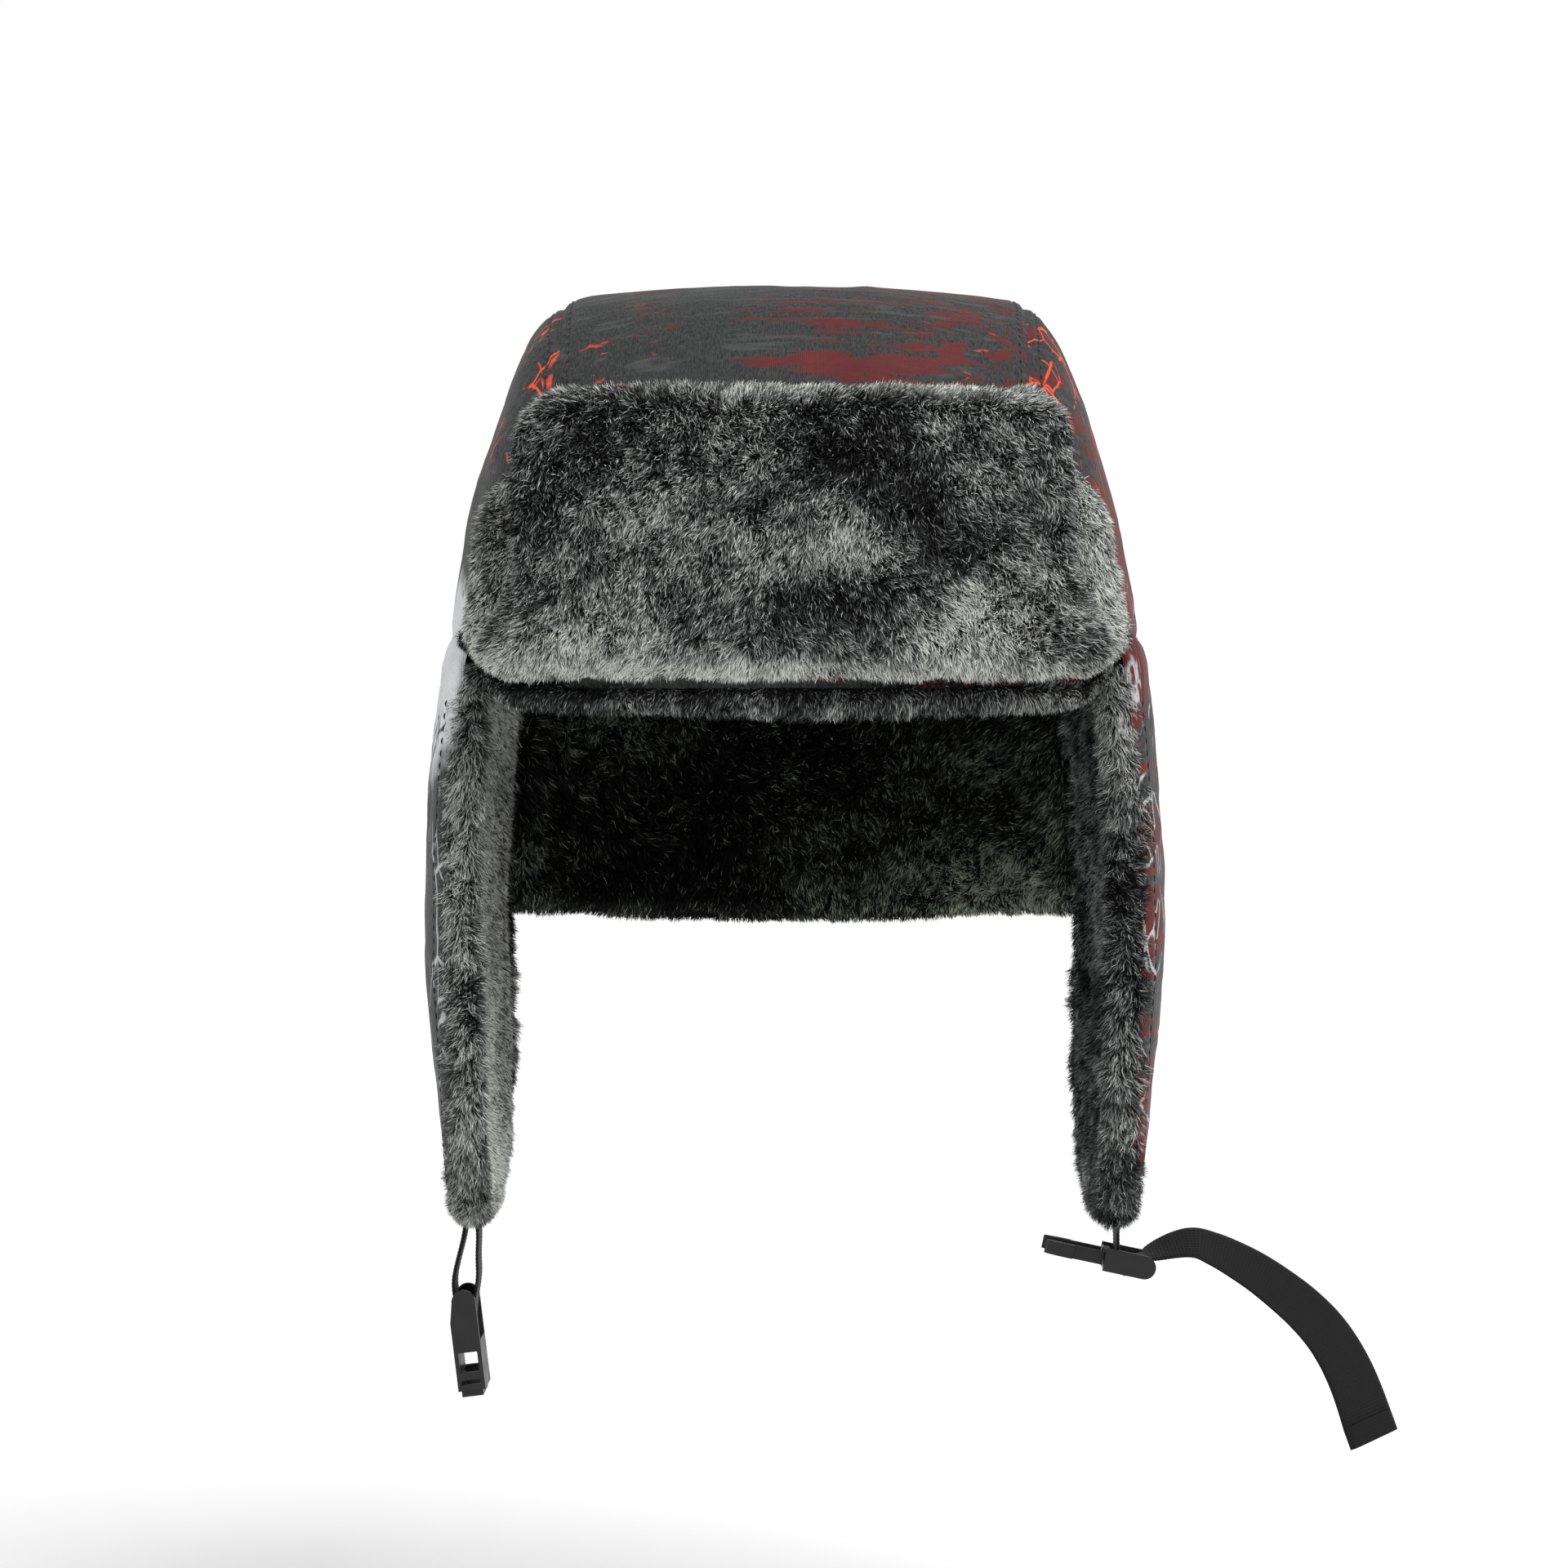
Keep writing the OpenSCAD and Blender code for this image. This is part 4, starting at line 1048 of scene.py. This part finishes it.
def fur_rim(name, place, side, body):
    """Rounded edge of an ear flap, where the fur turns out over the cloth, with its longer pile."""
    run = [(0.0, v) for v in np.linspace(0.985, 0.0, 150)]
    run += [(u, 0.0) for u in np.linspace(0.04, 0.96, 24)]
    run += [(1.0, v) for v in np.linspace(0.0, 0.985, 150)]
    u, v = np.array(run).T
    line = place(u, v, 7.4 + 0 * u)
    out = unit(place(u, v, 0 * u) - place(u, v, 11.0 + 0 * u))
    kernel = np.ones(9) / 9

    def eased(a):
        padded = np.pad(a, ((4, 4), (0, 0)), mode="edge")
        return np.stack([np.convolve(padded[:, c], kernel, "valid") for c in range(3)], 1)
    line, out = eased(line), unit(eased(out))
    away = np.cross(eased(np.gradient(line, axis=0)), out)
    away = unit(eased(away * np.sign(np.sum(away * (line - line.mean(0)), -1, keepdims=True))))
    turn = np.radians(np.linspace(-30, 215, 26))
    radius, core = 4.8, 1.0
    centre = line - away * 1.6
    ring = (out[:, None] * np.cos(turn)[None, :, None] + away[:, None] * np.sin(turn)[None, :, None])
    swell = radius + 0.5 * noise(line, 13, 15)
    grid = centre[:, None] + ring * swell[:, None, None]
    ob = finish_piece(shell(f"{name}_roll", grid, centre[:, None] + ring * core), M["under"], "fur", body)
    root, up = scatter(grid, ring, 6.5)
    high = smooth((root[:, 2] + 40) / 50)
    tone = 0.61 + mottle(root, 85 + side, 1.4) + 0.16 * high - 0.10 * (side > 0)
    # a few strands of the rim get painted glints
    tone = tone + rng.normal(0, 0.24, len(root)) + glints(len(root), 0.08, 0.3)
    wander = np.stack([0 * tone, noise(root, 18, 48), noise(root, 18, 49)], -1)
    flow = DOWN * 1.0 + np.array([0.2 * side, -0.2, 0]) + 0.5 * wander
    length = 4.8 + 1.4 * noise(root, 7, 65) - 1.6 * smooth(root[:, 2] / 14)
    in_parts(f"{name}_pile", root, up, flow, length, tone, "fur", body,
             width=0.30, lean=0.75, clump=1.0, wild=0.3)


def neck_flap():
    pivot = CROWN_D * MM
    blend = ("crown", "neck_flap", (0, pivot, FOLD_Z * MM), (0, pivot, (FOLD_Z - 14) * MM))
    us, vs = spaced(200, 0.4), spaced(110, 0.4)
    u, v = np.meshgrid(us, vs)
    grid = neck_place(FOLD_Z)(u, v, 0 * u)
    edge = edge_distance(u, v, *NECK_SIZE, (1, 1, 1, 0))
    seam = np.abs(np.abs(u - 0.5) - (0.5 - NECK_ARC)) * NECK_SIZE[0]
    height = wrinkles(grid + 500, 0.9) * smooth(edge / 12) - 2.2 * (1 - cushion(edge, 5))
    height = hem_and_fold(height + seam_dip(seam, grid, 1.2), grid, edge)
    outer, n = cloth("neck_flap_cloth", grid, height, M["top"], "softshell", blend=blend,
                     replaces=("neck_flap_shell",))
    inset_u, inset_v = HEM_STITCH / NECK_SIZE[0], HEM_STITCH / NECK_SIZE[1]
    path = [(x, inset_v) for x in np.linspace(inset_u, 1 - inset_u, 400)]
    stitches("neck_flap_stitches", [along_grid(outer, n, us, vs, path)], "neck_flap")
    u, v = np.meshgrid(0.02 + 0.96 * spaced(60, 0.5), 0.05 + 0.93 * spaced(30, 0.5))
    batting("neck_flap_batting", neck_place(FOLD_Z - 6), u, v, (230, 88), 2.2, "neck_flap",
            ("neck_flap_wadding",))
    grid, n, _ = fur_pad("neck_flap_pad", neck_place(FOLD_Z - FOLD_GAP), (150, 70), (230, 92), NECK_FUR_IN,
                         8.0, 7, "neck_fur", "neck_flap", ("neck_flap_fur",))
    root, up = scatter(grid, n, 4.2)
    # painted pools of light on the dark pile, brightest at the lower right, and a few painted glints
    tone = 0.43 + mottle(root, 90, 1.4) + painted_light_spots(root, *NECK_PAINTED_LIGHT)
    tone = tone + rng.normal(0, 0.2, len(root)) + glints(len(root), 0.06, 0.45)
    flow = DOWN * 0.8 + 0.8 * np.stack([noise(root, 26, 46), 0 * root[:, 0], noise(root, 26, 47)], -1)
    length = 4.6 + 1.1 * noise(root, 8, 64) - 1.6 * smooth((NECK_LOW + 14 - root[:, 2]) / 14)
    in_parts("neck_flap_pile", root, up, flow, length, tone, "neck_fur", "neck_flap",
             width=0.32, lean=0.8, clump=0.9, wild=0.28)
    fold_tape("neck_fold_tape", lambda u, z, off: strip_wall(-1 + 2 * u, z, off, 1), 120, 7.8, blend)


# ==== Webbing and buckle ====
def smooth_line(points, step=0.28):
    """Points every step millimetres along a smooth curve through the given ones, and their distances."""
    p = np.array(points, float)
    ext = np.concatenate([[2 * p[0] - p[1]], p, [2 * p[-1] - p[-2]]])
    fine = []
    for i in range(1, len(ext) - 2):
        t = np.linspace(0, 1, 40, endpoint=False)[:, None]
        a, b, c, d = ext[i - 1], ext[i], ext[i + 1], ext[i + 2]
        bend, twist = 2 * a - 5 * b + 4 * c - d, 3 * b - a - 3 * c + d
        fine.append(0.5 * (2 * b + (c - a) * t + bend * t**2 + twist * t**3))
    fine = np.concatenate(fine + [p[-1:]])
    s = np.concatenate([[0], np.cumsum(np.linalg.norm(np.diff(fine, axis=0), axis=1))])
    at = np.linspace(0, s[-1], max(2, int(s[-1] / step)))
    return np.stack([np.interp(at, s, fine[:, c]) for c in range(p.shape[1])], 1), at


def webbing(name, route, body, replaces, roll=None, thick=WEBBING_T):
    """Flat woven band along a route in X and Z, with its width along Y and cross ribs."""
    pts, s = smooth_line(route)
    d = unit(np.gradient(pts, axis=0))
    angle = np.radians(roll(s / s[-1])) if roll else 0 * s
    inward = np.stack([d[:, 1], 0 * s, -d[:, 0]], 1)
    wide = np.array([0, -1.0, 0]) * np.cos(angle)[:, None] + inward * np.sin(angle)[:, None]
    up = np.cross(np.stack([d[:, 0], 0 * s, d[:, 1]], 1), wide)
    centre = np.stack([pts[:, 0], np.full(len(s), STRAP_Y), pts[:, 1]], 1)
    w = np.linspace(-1, 1, 23)
    rise = (1 - np.abs(w) ** 8) ** 0.5 * (1 - 0.10 * np.abs(w) ** 3)
    ribs = 0.09 * np.cos(2 * np.pi * s / 1.15)[:, None] * np.cos(np.pi * w * 11)[None] ** 2
    rows = []
    for sign, order in ((1, slice(None)), (-1, slice(None, None, -1))):
        h = sign * (rise[None] * thick / 2 + ribs * rise[None])
        sideways = wide[:, None] * (w * WEBBING_W / 2)[None, :, None]
        line = centre[:, None] + sideways + up[:, None] * h[..., None]
        rows.append(line[:, order][:, 1:])
    ring = np.concatenate(rows, 1)
    nr, nc = ring.shape[:2]
    a = (np.arange(nr - 1)[:, None] * nc + np.arange(nc)[None]).ravel()
    b = (np.arange(nr - 1)[:, None] * nc + (np.arange(nc) + 1)[None] % nc).ravel()
    quads = np.stack([a, b, b + nc, a + nc], 1)
    caps = []
    for row in (0, nr - 1):
        first = row * nc
        for j in range(1, nc // 2):
            caps.append([first + j - 1, first + j, first + nc - 1 - j, first + nc - j])
    ob = mesh_object(name, ring.reshape(-1, 3), [quads, np.array(caps)])
    finish_piece(ob, M["webbing"], "webbing", body, replaces)
    return ob, s[-1]


# Buckle's bars: their radii, places in X and Z, and the air between a bar and the webbing round it
SOCKET_BAR_R = 1.8
CENTRE_BAR_R = 1.6
END_BAR_R = 2.0
BAR_AIR = 0.25
SOCKET_BAR = np.array([-108.2, -205.0])
PLUG_BAR = np.array([109.3, -187.0])
PLUG_TILT = 12.0
BAR_DROP = 1.3
END_BAR_A = -6.3
ANCHOR_X = CROWN_W + BELLY * math.sin(math.radians(-EAR_LOW * 1.25)) - STRAP_ROOT_IN - WEBBING_T / 2
STRAP_TOP = EAR_LOW - 1
TAIL_ROUTE = [
    [125.5, -182], [132.5, -181.2], [139, -183.4], [145.5, -186.6], [153, -191], [160.5, -196.4],
    [168, -202.6], [174.7, -209.6], [179.6, -216.6], [183.5, -224], [186.6, -231.6], [189.6, -240.4],
]
TAIL_END = np.array([192.0, -247.0])
END_ROLL = 62.0


def plug_point(a, c):
    """Place on the plug, a along it from the centre bar and c below its middle, in X and Z."""
    turn = math.radians(180 + PLUG_TILT)
    along, below = np.array([math.cos(turn), -math.sin(turn)]), np.array([math.sin(turn), math.cos(turn)])
    return PLUG_BAR + a * along + c * below


def around(centre, bar_r, first, last, count):
    """Places of webbing wrapped round a bar, from angle first to last."""
    radius = bar_r + BAR_AIR + WEBBING_T / 2
    angles = np.radians(np.linspace(first, last, count))
    return [centre + radius * np.array([math.cos(a), math.sin(a)]) for a in angles]


def straps():
    top = np.array([-ANCHOR_X, STRAP_TOP])
    bar = SOCKET_BAR
    route = [top + [-0.75, 1], top + [-2.4, -9], bar + [-3.5, 13], bar + [-3, 5],
             *around(bar, SOCKET_BAR_R, 180, 360, 9),
             bar + [3.2, 5], bar + [4.3, 13], bar + [4.2, 20], top + [2.4, -6], top + [0.75, 1]]
    loop, length = webbing("chin_loop_webbing", route, "webbing_loop", ("webbing_loop_left",))

    bar = plug_point(0, BAR_DROP)
    top = np.array([ANCHOR_X, STRAP_TOP + 1])
    turned = around(bar, CENTRE_BAR_R, 180, 315, 7)
    route = [top, turned[0] + [0, 6], *turned]
    webbing("chin_drop_webbing", route, "webbing_drop", ("webbing_drop_right",))

    points = [*around(plug_point(END_BAR_A, 0), END_BAR_R, 213, 93, 6), *[np.array(p) for p in TAIL_ROUTE]]
    lead = 0.06

    def roll(share):
        return END_ROLL * np.sqrt(np.clip((share - lead) / (1 - lead), 0, 1))
    tail, length = webbing("strap_tail_webbing", points, "tail", ("strap_tail",), roll=roll)
    start = np.array(TAIL_ROUTE[-1])
    ahead = (TAIL_END - start) / np.linalg.norm(TAIL_END - start)
    hem, _ = webbing("strap_tail_fold", [start + ahead * k for k in (-1.0, 2.5, 6)], "tail",
                     ("strap_tail_hem",), roll=lambda share: END_ROLL + 0 * share, thick=3.2)
    for side, word in SIDES.items():
        low = [side * ANCHOR_X, EAR_LOW - 0.5]
        depth = STRAP_ROOT_IN + WEBBING_T / 2
        high = side_wall(np.array(PHI_EAR_MID), np.array(EAR_LOW + 17), depth, side)
        webbing(f"strap_root_{word}", [low, [high[0], high[2]]], f"ear_flap_{word}",
                (f"strap_anchor_{word}",))


def hardware():
    """The moulded and pressed parts keep their CAD shape, with eased edges and finished surfaces."""
    nodes = {o["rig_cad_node"]: o for o in bpy.context.scene.objects if "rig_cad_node" in o}
    finishes = {
        "buckle_socket": ("plastic", 0.45), "buckle_plug_frame": ("plastic", 0.45),
        "plug_prong_front": ("plastic", 0.35), "plug_prong_rear": ("plastic", 0.35),
        "crown_press_stud": ("metal", 0.15), "front_flap_stud_socket": ("metal", 0.15),
    }
    for name, (look, width) in finishes.items():
        ob = nodes[name]
        for slot in ob.material_slots:
            slot.link = "OBJECT"
            slot.material = M[look]
        if not ob.material_slots:
            ob.data.materials.append(M[look])
        bevel = ob.modifiers.new("eased edges", "BEVEL")
        bevel.width = width * MM
        bevel.segments = 3
        bevel.limit_method = "ANGLE"
        bevel.angle_limit = math.radians(35)
        bevel.harden_normals = True


top_rows = crown_top()
for (side, word), row in zip(SIDES.items(), top_rows):
    crown_side(side, word, row)
lining()
sweatband()
front_flap()
brow()
for side, word in SIDES.items():
    ear_flap(side, word)
neck_flap()
straps()
hardware()


# ==== Studio ====
def studio():
    reach, drop = 9e3, 70
    height = cad_box[0][2] / MM - drop
    corners = np.array([(-reach, -reach, height), (reach, -reach, height), (reach, reach, height),
                        (-reach, reach, height)])
    floor = mesh_object("floor", corners, [np.array([[0, 1, 2, 3]])])
    t = Tree("floor_paper", Roughness=0.9)
    t.shader("Base Color", t.mix(t.noise(3.0), (0.97, 0.97, 0.97), (0.98, 0.98, 0.98)))
    floor.data.materials.append(t.mat)
    world = bpy.data.worlds.new("studio")
    world.use_nodes = True
    sky = world.node_tree.nodes["Background"]
    sky.inputs[0].default_value = (1, 1, 1, 1)
    seen = world.node_tree.nodes.new("ShaderNodeLightPath").outputs["Is Camera Ray"]
    level = world.node_tree.nodes.new("ShaderNodeMapRange")
    level.inputs["To Min"].default_value = 0.6
    level.inputs["To Max"].default_value = 1.0
    world.node_tree.links.new(seen, level.inputs["Value"])
    world.node_tree.links.new(level.outputs[0], sky.inputs[1])
    bpy.context.scene.world = world
    lamps = (("key", (0.75, -0.8, 1.0), 2.3, 45), ("fill", (-0.9, -1.0, 0.6), 0.7, 70))
    for name, place, strength, spread in lamps:
        lamp = bpy.data.lights.new(name, "SUN")
        lamp.energy = strength
        lamp.angle = math.radians(spread)
        ob = bpy.data.objects.new(name, lamp)
        ob.location = place
        ob.rotation_euler = Vector([-x for x in place]).to_track_quat("-Z", "Y").to_euler()
        bpy.context.collection.objects.link(ob)
    bpy.context.scene.view_settings.view_transform = "Standard"


studio()
